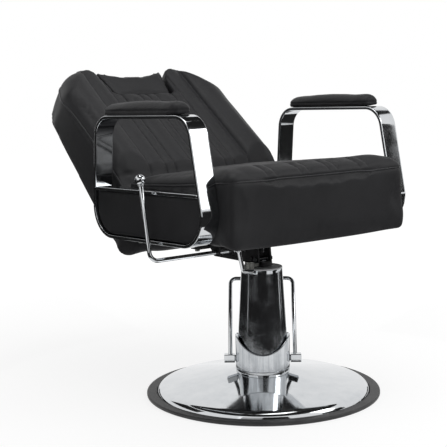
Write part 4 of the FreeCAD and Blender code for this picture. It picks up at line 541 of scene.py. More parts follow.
def rounded_run(
    corners: Sequence[Sequence[float]], radii: Sequence[float], closed: bool, steps: int = 6
) -> List[Vector]:
    """Round the corners of a run of straight lines.

    Args:
        corners: The corners, in two or three dimensions.
        radii: One radius for each corner; zero keeps it sharp.
        closed: Whether the last corner joins the first.
        steps: Straight pieces of each round.

    Returns:
        Points along the run.
    """
    spots = [Vector(corner) for corner in corners]
    count = len(spots)
    run: List[Vector] = []
    for index, corner in enumerate(spots):
        end = not closed and index in (0, count - 1)
        if end or radii[index] <= 0:
            run.append(corner.copy())
            continue
        before = (spots[index - 1] - corner).normalized()
        after = (spots[(index + 1) % count] - corner).normalized()
        spread = before.angle(after)
        reach = radii[index] / math.tan(spread / 2)
        centre = corner + (before + after).normalized() * (radii[index] / math.sin(spread / 2))
        first = corner + before * reach - centre
        last = corner + after * reach - centre
        turn = first.angle(last)
        for step in range(steps + 1):
            share = step / steps
            mixed = first * math.sin((1 - share) * turn) + last * math.sin(share * turn)
            run.append(centre + mixed / math.sin(turn))
    return run


def grid_faces(
    rows: int, columns: int, wrap_rows: bool, wrap_columns: bool
) -> List[Tuple[int, ...]]:
    """Return the quads of a grid of points.

    Args:
        rows: Number of rows.
        columns: Points in each row.
        wrap_rows: Whether the last row joins the first.
        wrap_columns: Whether each row closes on itself.

    Returns:
        Vertex numbers of each face.
    """
    faces = []
    for row in range(rows if wrap_rows else rows - 1):
        upper = (row + 1) % rows
        for column in range(columns if wrap_columns else columns - 1):
            after = (column + 1) % columns
            faces.append((row * columns + column, row * columns + after,
                          upper * columns + after, upper * columns + column))
    return faces


def fan_faces(rows: int, sides: int) -> List[Tuple[int, ...]]:
    """Return the faces of rings of points about a first point.

    Args:
        rows: Number of rings.
        sides: Points of each ring.

    Returns:
        Vertex numbers of each face.
    """
    faces: List[Tuple[int, ...]] = [(0, 1 + step, 1 + (step + 1) % sides) for step in range(sides)]
    rings = grid_faces(rows, sides, False, True)
    return faces + [tuple(1 + index for index in face) for face in rings]


def swept_faces(rows: int, columns: int, closed: bool) -> List[Tuple[int, ...]]:
    """Return the faces of a swept section, with its end caps if it is open.

    Args:
        rows: Sections along the sweep.
        columns: Points of each section.
        closed: Whether the sweep is endless.

    Returns:
        Vertex numbers of each face.
    """
    faces = grid_faces(rows, columns, closed, True)
    if not closed:
        faces.append(tuple(range(columns)))
        faces.append(tuple(range((rows - 1) * columns, rows * columns)))
    return faces


def around(steps: int) -> List[Spot]:
    """Return the cosine and the sine of equal steps round a circle."""
    angles = [2 * math.pi * step / steps for step in range(steps)]
    return [(math.cos(angle), math.sin(angle)) for angle in angles]


def turned_ring(
    name: str,
    corners: Sequence[Spot],
    radii: Sequence[float],
    material: Material,
    segments: int = 192,
    steps: int = 5,
) -> Piece:
    """Turn a closed profile about the column axis.

    Args:
        name: The object's name.
        corners: Radius and height of each corner.
        radii: The round of each corner.
        material: Its finish.
        segments: Steps round the axis.
        steps: Straight pieces of each round.

    Returns:
        The turned object.
    """
    profile = spread_points(rounded_run(corners, radii, True, steps), 4.0, True)
    points = [(spot.x * east, spot.x * north, spot.y)
              for east, north in around(segments) for spot in profile]
    return new_piece(name, points, grid_faces(segments, len(profile), True, True), material)


def distinct(run: Sequence[Vector], closed: bool) -> List[Vector]:
    """Leave out the points of a run that lie on the one before.

    Args:
        run: The points.
        closed: Whether the last point joins the first.

    Returns:
        The points that stay.
    """
    line = [point for index, point in enumerate(run)
            if index == 0 or (point - run[index - 1]).length > SAME_SPOT]
    if closed and (line[0] - line[-1]).length < SAME_SPOT:
        line.pop()
    return line


def headings(line: Sequence[Vector], closed: bool) -> List[Tuple[Vector, Vector]]:
    """Return the directions in which a run comes to and leaves each point.

    Args:
        line: The points.
        closed: Whether the last point joins the first.

    Returns:
        Two unit vectors for each point.
    """
    count = len(line)
    steps = [(line[(index + 1) % count] - line[index]).normalized()
             for index in range(count if closed else count - 1)]
    if closed:
        return list(zip([steps[-1]] + steps[:-1], steps))
    return list(zip([steps[0]] + steps, steps + [steps[-1]]))


def rod_along(
    name: str,
    run: Sequence[Vector],
    radius: float,
    material: Material,
    closed: bool = False,
    sides: int = 24,
) -> Piece:
    """Make a round rod along a run, its ends closed with small bevels.

    Args:
        name: The object's name.
        run: Points of its centre line.
        radius: The rod's radius.
        material: Its finish.
        closed: Whether the rod is an endless ring.
        sides: Points round the rod.

    Returns:
        The rod.
    """
    line = distinct(run, closed)
    count = len(line)
    along = [(come + leave).normalized() for come, leave in headings(line, closed)]
    side = along[0].orthogonal().normalized()
    frames = []
    for direction in along:
        side = (side - direction * side.dot(direction)).normalized()
        frames.append((side.copy(), direction.cross(side)))
    if closed:
        twist = math.atan2(frames[0][0].dot(frames[-1][1]), frames[0][0].dot(frames[-1][0])) / count
        frames = [(s * math.cos(twist * i) + t * math.sin(twist * i),
                   t * math.cos(twist * i) - s * math.sin(twist * i))
                  for i, (s, t) in enumerate(frames)]
    rings = [(point, radius, index) for index, point in enumerate(line)]
    if not closed:
        bevel = radius * 0.3
        start, end = line[0], line[-1]
        rings = ([(start, radius - bevel, 0), (start + along[0] * bevel, radius, 0)] + rings[1:-1]
                 + [(end - along[-1] * bevel, radius, count - 1), (end, radius - bevel, count - 1)])
    points = []
    for centre, size, index in rings:
        first, second = frames[index]
        points += [centre + first * (size * east) + second * (size * north)
                   for east, north in around(sides)]
    piece = new_piece(name, points, swept_faces(len(rings), sides, closed), material)
    for face in piece.data.polygons:
        face.use_smooth = len(face.vertices) < sides
    return piece


def turned_knob(
    name: str,
    profile: Sequence[Spot],
    centre: Point,
    axis: Vector,
    material: Material,
    sides: int = 48,
) -> Piece:
    """Turn an open profile that starts and ends on its own axis.

    Args:
        name: The object's name.
        profile: Radius and distance along the axis, from pole to pole.
        centre: Where the axis starts.
        axis: Its direction, of length 1.
        material: Its finish.
        sides: Points round the axis.

    Returns:
        The knob.
    """
    first = axis.orthogonal().normalized()
    second = axis.cross(first)
    origin = Vector(centre)
    points: List[Vector] = [origin + axis * profile[0][1]]
    for reach, run in profile[1:-1]:
        points += [origin + axis * run + first * (reach * east) + second * (reach * north)
                   for east, north in around(sides)]
    points.append(origin + axis * profile[-1][1])
    faces = fan_faces(len(profile) - 2, sides)
    last = len(points) - 1
    for step in range(sides):
        faces.append((last, last - sides + step, last - sides + (step + 1) % sides))
    return new_piece(name, points, faces, material)


def baked(piece: Piece) -> Piece:
    """Apply every modifier of a piece to its mesh.

    Args:
        piece: The piece.

    Returns:
        The same piece.
    """
    depsgraph = bpy.context.evaluated_depsgraph_get()
    shaped = bpy.data.meshes.new_from_object(piece.evaluated_get(depsgraph))
    old = piece.data
    piece.modifiers.clear()
    piece.data = shaped
    bpy.data.meshes.remove(old)
    return piece


def vertex_rows(mesh: Mesh, field: str) -> np.ndarray:
    """Read a vector of every vertex.

    Args:
        mesh: The mesh.
        field: The vertex attribute's name.

    Returns:
        One row for each vertex.
    """
    flat = np.empty(len(mesh.vertices) * 3, np.float64)
    mesh.vertices.foreach_get(field, flat)
    return flat.reshape(-1, 3)


def points_of(mesh: Mesh) -> np.ndarray:
    """Return a mesh's vertices in millimetres."""
    return vertex_rows(mesh, "co") / MM


def normals_of(mesh: Mesh) -> np.ndarray:
    """Return a mesh's vertex normals."""
    return vertex_rows(mesh, "normal")


def move_points(mesh: Mesh, points: np.ndarray) -> None:
    """Give a mesh's vertices new places in millimetres."""
    mesh.vertices.foreach_set("co", (points * MM).astype(np.float32).ravel())
    mesh.update()


def relaxed(mesh: Mesh, rounds: int) -> None:
    """Even out a mesh without shrinking it: each pull towards the neighbours has a push back.

    Args:
        mesh: The mesh.
        rounds: How many times.
    """
    ends = np.empty(len(mesh.edges) * 2, np.int64)
    mesh.edges.foreach_get("vertices", ends)
    a, b = ends[0::2], ends[1::2]
    count = len(mesh.vertices)
    degree = np.maximum(np.bincount(a, minlength=count) + np.bincount(b, minlength=count), 1)
    points = points_of(mesh)
    for strength in PULL_AND_PUSH * rounds:
        for axis in range(3):
            total = np.bincount(a, points[b, axis], count) + np.bincount(b, points[a, axis], count)
            points[:, axis] += strength * (total / degree - points[:, axis])
    move_points(mesh, points)


@dataclass
class Padding:
    """How a cushion's CAD solid is turned to a soft cover.

    The solid is remeshed, swollen as cloth by the foam's pressure, and evened out.
    """

    voxel: float = 5.0
    pressure: float = 4.0
    swell_limit: float = 4.0
    rounds_before: int = 3
    rounds_after: int = 2

    def cover(self, name: str, node: str, material: Material) -> Piece:
        """Make the cover of one CAD cushion.

        Args:
            name: The new object's name.
            node: The CAD node that it is made from.
            material: Its finish.

        Returns:
            The cover, remeshed, swollen and divided once.
        """
        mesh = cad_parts[node].data.copy()
        mesh.name = name
        mesh.materials.clear()
        mesh.materials.append(material)
        face_outwards(mesh, CAD_WELD)
        piece = linked(name, mesh)
        remesh = piece.modifiers.new("even_quads", "REMESH")
        remesh.mode = "VOXEL"
        remesh.voxel_size = self.voxel * MM
        baked(piece)
        relaxed(piece.data, self.rounds_before)
        self.swell(piece)
        relaxed(piece.data, self.rounds_after)
        divide = piece.modifiers.new("divide", "SUBSURF")
        divide.levels = 1
        divide.render_levels = 1
        baked(piece)
        shade_smooth(piece.data)
        return piece

    def swell(self, piece: Piece) -> None:
        """Blow the cover up as cloth for twenty frames, and cap how far a point moves.

        Args:
            piece: The cover.
        """
        before = points_of(piece.data)
        cloth = piece.modifiers.new("cloth", "CLOTH")
        for name, value in (
            ("quality", 4), ("mass", 0.3), ("tension_stiffness", 25), ("compression_stiffness", 25),
            ("shear_stiffness", 10), ("bending_stiffness", 3), ("use_pressure", True),
            ("uniform_pressure_force", self.pressure), ("shrink_min", 0.0),
        ):
            setattr(cloth.settings, name, value)
        cloth.settings.effector_weights.gravity = 0.0
        cloth.collision_settings.use_collision = False
        scene = bpy.context.scene
        for frame_number in range(1, 21):
            scene.frame_set(frame_number)
        baked(piece)
        scene.frame_set(1)
        moved = points_of(piece.data) - before
        length = np.linalg.norm(moved, axis=1, keepdims=True)
        cap = np.minimum(1.0, self.swell_limit / np.maximum(length, 1e-9))
        move_points(piece.data, before + moved * cap)


def laid_on(piece: Piece, points: Sequence[Sequence[float]], lift: float) -> List[Vector]:
    """Move points to the nearest spot of a piece's surface and a little out of it.

    Args:
        piece: The piece.
        points: Points in millimetres.
        lift: Distance over the surface, in millimetres.

    Returns:
        The points on the surface, in millimetres.
    """
    tree = BVHTree.FromObject(piece, bpy.context.evaluated_depsgraph_get())
    laid = []
    for point in points:
        spot, normal, _, _ = tree.find_nearest(Vector(point) * MM)
        laid.append((spot + normal * (lift * MM)) / MM)
    return laid


def smoothed_run(points: Sequence[Vector], rounds: int, closed: bool) -> List[Vector]:
    """Even out a run of points, its ends kept.

    Args:
        points: The points.
        rounds: How many times.
        closed: Whether the last point joins the first.

    Returns:
        The evened points.
    """
    run = [point.copy() for point in points]
    count = len(run)
    for _ in range(rounds):
        run = [spot if not closed and index in (0, count - 1)
               else (run[index - 1] + spot * 2 + run[(index + 1) % count]) / 4
               for index, spot in enumerate(run)]
    return run


def spread_points(points: Sequence[Vector], gap: float, closed: bool) -> List[Vector]:
    """Divide a run so that its points lie at most a gap apart.

    Args:
        points: The points.
        gap: The widest distance.
        closed: Whether the last point joins the first.

    Returns:
        The old and the new points.
    """
    run = []
    count = len(points)
    for index in range(count if closed else count - 1):
        start = points[index]
        end = points[(index + 1) % count]
        pieces = max(1, math.ceil((end - start).length / gap))
        run += [start.lerp(end, step / pieces) for step in range(pieces)]
    return run if closed else run + [points[-1]]


def ripple(points: np.ndarray, scale: float, seed: float) -> np.ndarray:
    """Return smooth noise from -1 to 1 at each point.

    Args:
        points: Points in millimetres.
        scale: Size of the ripples in millimetres.
        seed: Where in the noise to look.

    Returns:
        One number for each point.
    """
    return np.array([noise.noise(Vector((x / scale + seed, y / scale, z / scale)))
                     for x, y, z in points])


def groove(distance: np.ndarray, width: float) -> np.ndarray:
    """Return a sewn seam's depth share beside its line: a sharp foot and soft shoulders."""
    return np.exp(-np.abs(distance) / width)


def fade(value: np.ndarray, start: float, full: float) -> np.ndarray:
    """Return 0 where a value is at its start, 1 where it is full, and a share between them."""
    return np.clip((value - start) / (full - start), 0, 1)


@dataclass(frozen=True)
class Seam:
    """How a sewn seam draws the cover in, and how the cover puckers beside it."""

    depth: float
    width: float
    pucker: float
    pucker_size: float
    pucker_reach: float

    def sunk(
        self, points: np.ndarray, distance: np.ndarray, seed: float, shown: Any = 1.0
    ) -> np.ndarray:
        """Return how deep each point sinks.

        Args:
            points: Points in millimetres.
            distance: How far each point lies from the seam.
            seed: Where in the noise to look for the puckers.
            shown: How much of the fold shows at each point.

        Returns:
            One depth for each point.
        """
        puckers = ripple(points, self.pucker_size, seed) * groove(distance, self.pucker_reach)
        return self.depth * groove(distance, self.width) * shown + self.pucker * puckers


@dataclass(frozen=True)
class Pull:
    """A place where the upholsterer's hand drew the cover out or in."""

    centre: Point
    move: Point
    reach: Point


def pulled(points: np.ndarray, pulls: Sequence[Pull]) -> np.ndarray:
    """Move points by pulls that are the same on both sides of the chair.

    Args:
        points: Points in millimetres.
        pulls: What moves them.

    Returns:
        The moved points.
    """
    moved = points.copy()
    for pull in pulls:
        for side in ((1.0,) if pull.centre[0] == 0 else (1.0, -1.0)):
            mirror = np.array((side, 1.0, 1.0))
            away = (points - np.array(pull.centre) * mirror) / np.array(pull.reach)
            share = np.exp(-0.5 * (away ** 2).sum(axis=1))[:, None]
            moved += share * np.array(pull.move) * mirror
    return moved


def in_own_frame(place: Matrix, points: np.ndarray) -> np.ndarray:
    """Turn points of the row frame to a tilted part's own frame."""
    back = np.array(place.inverted())
    return points @ back[:3, :3].T + back[:3, 3]


def pulled_in(place: Matrix, points: np.ndarray, pulls: Sequence[Pull]) -> np.ndarray:
    """Move points by pulls that are given in a tilted part's own frame.

    Args:
        place: The matrix from that frame to the row frame.
        points: Points in the row frame.
        pulls: What moves them.

    Returns:
        The moved points, in the row frame.
    """
    own = in_own_frame(place, points)
    return points + (pulled(own, pulls) - own) @ np.array(place.inverted())[:3, :3]


def hand_over(piece: Piece, body: Body, slot: Slot, *nodes: str) -> None:
    """Let a piece ride on its body and replace CAD nodes.

    Args:
        piece: The piece.
        body: The body that it rides on.
        slot: The record's material slot; not used.
        nodes: CAD nodes that it stands for.
    """
    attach(piece, body.value)
    if nodes:
        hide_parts(*nodes)
    LOG.info("built %s on %s", piece.name, body.value)


# Sub-assemblies


@dataclass
class Assembly:
    """A group of pieces that is built in one go."""

    finishes: Finishes

    def build(self) -> None:
        """Build the new pieces and dress the CAD pieces that stay."""
        raise NotImplementedError


@dataclass
class FloorBase(Assembly):
    """The weighted dish on the floor with its rubber ring."""

    ring_radius: float = 299.8
    ring_inner: float = 262.0
    ring_ledge: float = 6.0
    ring_tall: float = 9.5
    ring_seat: float = 274.3
    dish_radius: float = 274.0
    dish_batter: float = 5.0
    dish_shoulder: float = 22.0
    dish_round: float = 22.0
    dish_top: float = 58.0
    dish_flat: float = 72.0
    dish_flat_round: float = 30.0
    dish_bore: float = 40.0
    dish_wall: float = 2.5

    def build(self) -> None:
        """Build the ring and the dish, and dress the weight, flange and bolts."""
        ring = turned_ring("rubber_ring", [
            (self.ring_inner, 0), (self.ring_radius, 0), (self.ring_radius, self.ring_tall),
            (self.ring_seat, self.ring_tall), (self.ring_seat, self.ring_ledge),
            (self.ring_inner, self.ring_ledge),
        ], [0, 3.2, 3.6, 0.8, 0, 0], self.finishes.rubber)
        hand_over(ring, Body.BASE, Slot.RUBBER, "base_ring")
        wall = self.dish_wall
        shoulder = self.dish_radius - self.dish_batter
        dish = turned_ring("chrome_dish", [
            (self.dish_radius, self.ring_ledge), (shoulder, self.dish_shoulder),
            (self.dish_flat, self.dish_top), (self.dish_bore, self.dish_top),
            (self.dish_bore, self.dish_top - wall), (self.dish_flat, self.dish_top - wall),
            (shoulder - wall, self.dish_shoulder - wall),
            (self.dish_radius - wall, self.ring_ledge),
        ], [0, self.dish_round, self.dish_flat_round, 0,
            0, self.dish_flat_round, self.dish_round - wall, 0], self.finishes.chrome, 256, 10)
        hand_over(dish, Body.BASE, Slot.CHROME, "base_dish")
        dress(self.finishes.iron, "base_weight")
        dress(self.finishes.chrome, "pump_flange", "flange_bolts")


@dataclass
class Column(Assembly):
    """The pump with its chrome covers and the grey cap on top."""

    foot: float = 65.0
    sleeve_foot_radius: float = 67.2
    sleeve_top_radius: float = 52.8
    sleeve_top: float = 324.0
    sleeve_wall: float = 1.5
    collar_radius: float = 70.0
    collar_wall: float = 2.0
    collar_top: float = 150.0
    scoop_radius: float = 75.0
    scoop_floor: float = 111.0
    scoop_blend: float = 4.0
    cap_top: float = 327.5
    cap_round: float = 1.8
    cap_bore: float = 20.6
    segments: int = 192
    rows: int = 26

    def build(self) -> None:
        """Build the sleeve, collar and cap, and dress the pump."""
        sleeve = self.covered("chrome_sleeve", self.sleeve_radius, self.sleeve_wall,
                              lambda angle: self.sleeve_top)
        hand_over(sleeve, Body.BASE, Slot.CHROME, "upper_sleeve")
        collar = self.covered("chrome_collar", lambda height: self.collar_radius, self.collar_wall,
                              self.scoop_height)
        hand_over(collar, Body.BASE, Slot.CHROME, "lower_collar")
        cap = turned_ring("column_top_cap", [
            (self.cap_bore, self.sleeve_top), (self.sleeve_top_radius, self.sleeve_top),
            (self.sleeve_top_radius, self.cap_top), (self.cap_bore, self.cap_top),
        ], [0, 0.3, self.cap_round, 0.4], self.finishes.grey_nylon, 128)
        hand_over(cap, Body.BASE, Slot.PLASTIC, "column_cap")
        dress(self.finishes.enamel, "pump_body")
        dress(self.finishes.black_nylon, "pump_gland")
        dress(self.finishes.turned_steel, "pump_ram", "ram_retainer")

    def covered(
        self,
        name: str,
        radius_at: Callable[[float], float],
        wall: float,
        top_at: Callable[[float], float],
    ) -> Piece:
        """Make a thin upright cover whose rim may dip, with both walls and a rounded rim.

        Args:
            name: The object's name.
            radius_at: Outer radius at a height.
            wall: Sheet thickness.
            top_at: Height of the rim at an angle.

        Returns:
            The cover.
        """
        lip = wall / 2
        lip_turns = (0.6, 1.1, math.pi / 2, 2.04, 2.54)
        points = []
        for step in range(self.segments):
            angle = 2 * math.pi * step / self.segments
            top = top_at(angle)
            rise = top - lip - self.foot
            heights = [self.foot + rise * row / (self.rows - 1) for row in range(self.rows)]
            outer = [(radius_at(height), height) for height in heights]
            rim = [(radius_at(top) - lip * (1 - math.cos(turn)), top - lip + lip * math.sin(turn))
                   for turn in lip_turns]
            inner = [(radius - wall, height) for radius, height in reversed(outer)]
            points += [(radius * math.cos(angle), radius * math.sin(angle), height)
                       for radius, height in outer + rim + inner]
        faces = grid_faces(self.segments, self.rows * 2 + len(lip_turns), True, True)
        return new_piece(name, points, faces, self.finishes.drawn_chrome)

    def sleeve_radius(self, height: float) -> float:
        """Return the tapered sleeve's radius at a height."""
        share = (height - self.foot) / (self.sleeve_top - self.foot)
        return self.sleeve_foot_radius + (self.sleeve_top_radius - self.sleeve_foot_radius) * share

    def scoop_height(self, angle: float) -> float:
        """Return the height of the collar's rim, which is scooped to the front and the rear.

        Args:
            angle: Where on the rim, in radians from +X.

        Returns:
            The height, blended where the scoop meets the level rim.
        """
        across = abs(self.collar_radius * math.cos(angle - math.radians(PEDAL_TURN)))
        down = math.sqrt(max(self.scoop_radius ** 2 - across ** 2, 0.0))
        dip = self.scoop_floor + self.scoop_radius - down
        blend = self.scoop_blend
        gap = self.collar_top - dip
        if abs(gap) > blend:
            return min(dip, self.collar_top)
        return self.collar_top - (gap + blend) ** 2 / (4 * blend)


@dataclass
class FootPump(Assembly):
    """The bent bail, its axle and blocks."""

    rise: float = 50.2
    axle_lift: float = 88.0
    bail_start: float = 4.8
    half: float = 83.6
    reach: float = 234.0
    rod: float = 5.2
    bend: float = 16.0
    block_middle: float = 85.5
    block_long: float = 28.0
    block_wide: float = 21.0
    block_bevel: float = 2.0
    screw_rim: float = 5.5
    screw_depth: float = 1.2

    def build(self) -> None:
        """Build the bail and the blocks and dress the axle."""
        rise = math.radians(self.rise)
        run = Vector((0, math.cos(rise), math.sin(rise)))
        place = (Matrix.Translation((0, 0, self.axle_lift))
                 @ Matrix.Rotation(math.radians(PEDAL_TURN), 4, "Z"))
        corners = [place @ (Vector((side * self.half, 0, 0)) + run * length) for side, length in (
            (-1, self.bail_start), (-1, self.reach), (1, self.reach), (1, self.bail_start))]
        line = rounded_run(corners, [0, self.bend, self.bend, 0], False, 10)
        bail = rod_along("pedal_bail_rod", line, self.rod, self.finishes.chrome)
        hand_over(bail, Body.PEDAL, Slot.CHROME, "pedal_bail")
        dress(self.finishes.chrome, "pedal_axle")
        for side, sign in SIDES:
            block = self.clamp_block(f"clamp_block_{side}", sign, place)
            hand_over(block, Body.PEDAL, Slot.CHROME, f"pedal_block_{side}")

    def clamp_block(self, name: str, sign: int, place: Matrix) -> Piece:
        """Make one bevelled block on the axle, with the recess of its grub screw.

        Args:
            name: The object's name.
            sign: The side of the column that it is on.
            place: Where the pedal's axle is and how it is turned.

        Returns:
            The block.
        """
        work = bmesh.new()
        bmesh.ops.create_cube(work, size=1.0)
        for corner in work.verts:
            corner.co = Vector((corner.co.x * self.block_long + sign * self.block_middle,
                                corner.co.y * self.block_wide, corner.co.z * self.block_wide))
        bmesh.ops.bevel(work, geom=list(work.edges), offset=self.block_bevel, segments=3,
                        profile=0.5, affect="EDGES")
        top = [face for face in work.faces if face.normal.z > 0.99 and face.calc_area() > 50]
        bmesh.ops.inset_individual(work, faces=top, thickness=self.screw_rim, use_even_offset=True)
        bmesh.ops.translate(work, verts=list({corner for face in top for corner in face.verts}),
                            vec=(0, 0, -self.screw_depth))
        bmesh.ops.transform(work, matrix=Matrix.Scale(MM, 4) @ place, verts=work.verts)
        mesh = bpy.data.meshes.new(name)
        work.to_mesh(mesh)
        work.free()
        mesh.materials.append(self.finishes.chrome)
        shade_smooth(mesh)
        block = linked(name, mesh)
        block.modifiers.new("flat_faces", "WEIGHTED_NORMAL").weight = 80
        return baked(block)


@dataclass
class SeatCarrier(Assembly):
    """Everything of steel between the ram and the seat, left as CAD made it."""

    def build(self) -> None:
        """Dress the carrier, the seat frame, the lock and the hinges."""
        finishes = self.finishes
        dress(finishes.enamel, "carrier_hub", "carrier_bolt", "carrier_plate", "fork_plate_left",
              "fork_plate_right", "seat_frame", "frame_wedge_left", "frame_wedge_right",
              "lever_clip_outer", "lever_clip_inner", "seat_bracket_left", "seat_bracket_right",
              "back_strap_left", "back_strap_right", "hinge_tube", "gas_cylinder")
        dress(finishes.zinc, "lock_barrel", "arm_bolts", "hinge_pin_left", "hinge_pin_right")
        dress(finishes.turned_steel, "gas_rod", "clevis_pin", "gas_pin")
        dress(finishes.chrome, "cross_bolt", "release_screw", "headrest_posts")
        dress(finishes.plywood, "seat_board")
        dress(finishes.black_nylon, "headrest_guides")
        dress(finishes.vinyl, "back_board")


@dataclass
class Arms(Assembly):
    """Both chrome arm loops with their crossbars, side panels and pads."""

    tilt: float = 1.43
    lift: float = 419.1
    inner: float = 281.0
    wide: float = 52.0
    thick: float = 8.0
    edge: float = 1.3
    tall: float = 303.0
    foot_front: float = 203.5
    foot_back: float = 267.4
    head_front: float = 147.0
    head_back: float = 237.0
    foot_round: float = 76.0
    head_round: float = 58.0
    crossbar_top: float = 125.5
    crossbar_bite: float = 4.8  # how far the crossbar's ends stand inside the uprights' outer faces
    pad_pulls: Tuple[Pull, ...] = (  # in the level arm's frame; the front end is blunt
        Pull((0, -88, 333), (0, -2, 7), (500, 22, 22)),
        Pull((0, 185, 333), (0, 1, 3), (500, 25, 22)),
        Pull((0, 60, 333), (0, 0, -0.5), (500, 60, 20)),
    )
    pad_seam_height: float = 314.0
    pad_seam: Seam = Seam(1.6, 1.8, 0.5, 9.0, 9.0)

    @property
    def place(self) -> Matrix:
        """The matrix that tips level arms to their place."""
        return (Matrix.Translation((0, 0, self.lift))
                @ Matrix.Rotation(math.radians(-self.tilt), 4, "X"))

    def build(self) -> None:
        """Build both arms."""
        corners = [(-self.foot_front, 0), (self.foot_back, 0), (self.head_back, self.tall),
                   (-self.head_front, self.tall)]
        rounds = [self.foot_round, self.foot_round, self.head_round, self.head_round]
        loop = rounded_run(corners, rounds, True, 20)
        share = self.crossbar_top / self.tall
        front = -self.foot_front + (self.foot_front - self.head_front) * share + self.crossbar_bite
        back = self.foot_back + (self.head_back - self.foot_back) * share - self.crossbar_bite
        low = self.crossbar_top - self.thick
        crossbar = spread_points([Vector((front, low)), Vector((back, low))], 60, False)
        for side, sign in SIDES:
            start = self.inner if sign > 0 else -self.inner - self.wide
            bar = self.bent_bar(f"chrome_arm_loop_{side}", loop, start, True)
            hand_over(bar, Body.SEAT, Slot.CHROME, f"arm_loop_{side}")
            bar = self.bent_bar(f"chrome_crossbar_{side}", crossbar, start, False)
            hand_over(bar, Body.SEAT, Slot.CHROME, f"arm_crossbar_{side}")
            self.panel(side)
            self.pad(side)

    def bent_bar(self, name: str, path: Sequence[Vector], start: float, closed: bool) -> Piece:
        """Bend the flat bar along the outside of a run in the side view.

        Args:
            name: The object's name.
            path: Points of the bar's outer face, as (y, z) of the level arm, turning anticlockwise.
            start: Where the bar's width starts on X.
            closed: Whether the bar is an endless loop.

        Returns:
            The bar.
        """
        corners = [(0, 0), (self.wide, 0), (self.wide, self.thick), (0, self.thick)]
        section = spread_points(rounded_run(corners, [self.edge] * 4, True, 3), 2.5, True)
        line = distinct(spread_points(path, 6.0, closed), closed)
        place = self.place
        points = []
        for spot, (come, leave) in zip(line, headings(line, closed)):
            along = (come + leave).normalized()
            inward = Vector((-along.y, along.x)) / max(0.5, come.dot(along))
            for corner in section:
                flat = spot + inward * corner.y
                points.append(place @ Vector((start + corner.x, flat.x, flat.y)))
        faces = swept_faces(len(line), len(section), closed)
        return new_piece(name, points, faces, self.finishes.chrome)

    def panel(self, side: str) -> None:
        """Draw the vinyl tight over thin foam in the lower window.

        Args:
            side: The arm's side.
        """
        padding = Padding(voxel=4.0, pressure=2.5, swell_limit=1.2, rounds_before=2, rounds_after=1)
        panel = padding.cover(f"vinyl_side_panel_{side}", f"side_panel_{side}", self.finishes.vinyl)
        hand_over(panel, Body.SEAT, Slot.VINYL, f"side_panel_{side}")

    def pad(self, side: str) -> None:
        """Make an arm pad: a crowned top sewn to a low side band.

        Args:
            side: The arm's side.
        """
        padding = Padding(voxel=3.5, pressure=3.0, swell_limit=1.5, rounds_before=3, rounds_after=1)
        pad = padding.cover(f"vinyl_arm_pad_{side}", f"arm_pad_{side}", self.finishes.vinyl)
        normals = normals_of(pad.data)
        points = pulled_in(self.place, points_of(pad.data), self.pad_pulls)
        distance = in_own_frame(self.place, points)[:, 2] - self.pad_seam_height
        outward = fade(np.abs(normals[:, 2]), 0.875, 0.25)
        depth = self.pad_seam.sunk(points, distance, 3.0, outward)
        move_points(pad.data, points - normals * depth[:, None])
        hand_over(pad, Body.SEAT, Slot.VINYL, f"arm_pad_{side}")


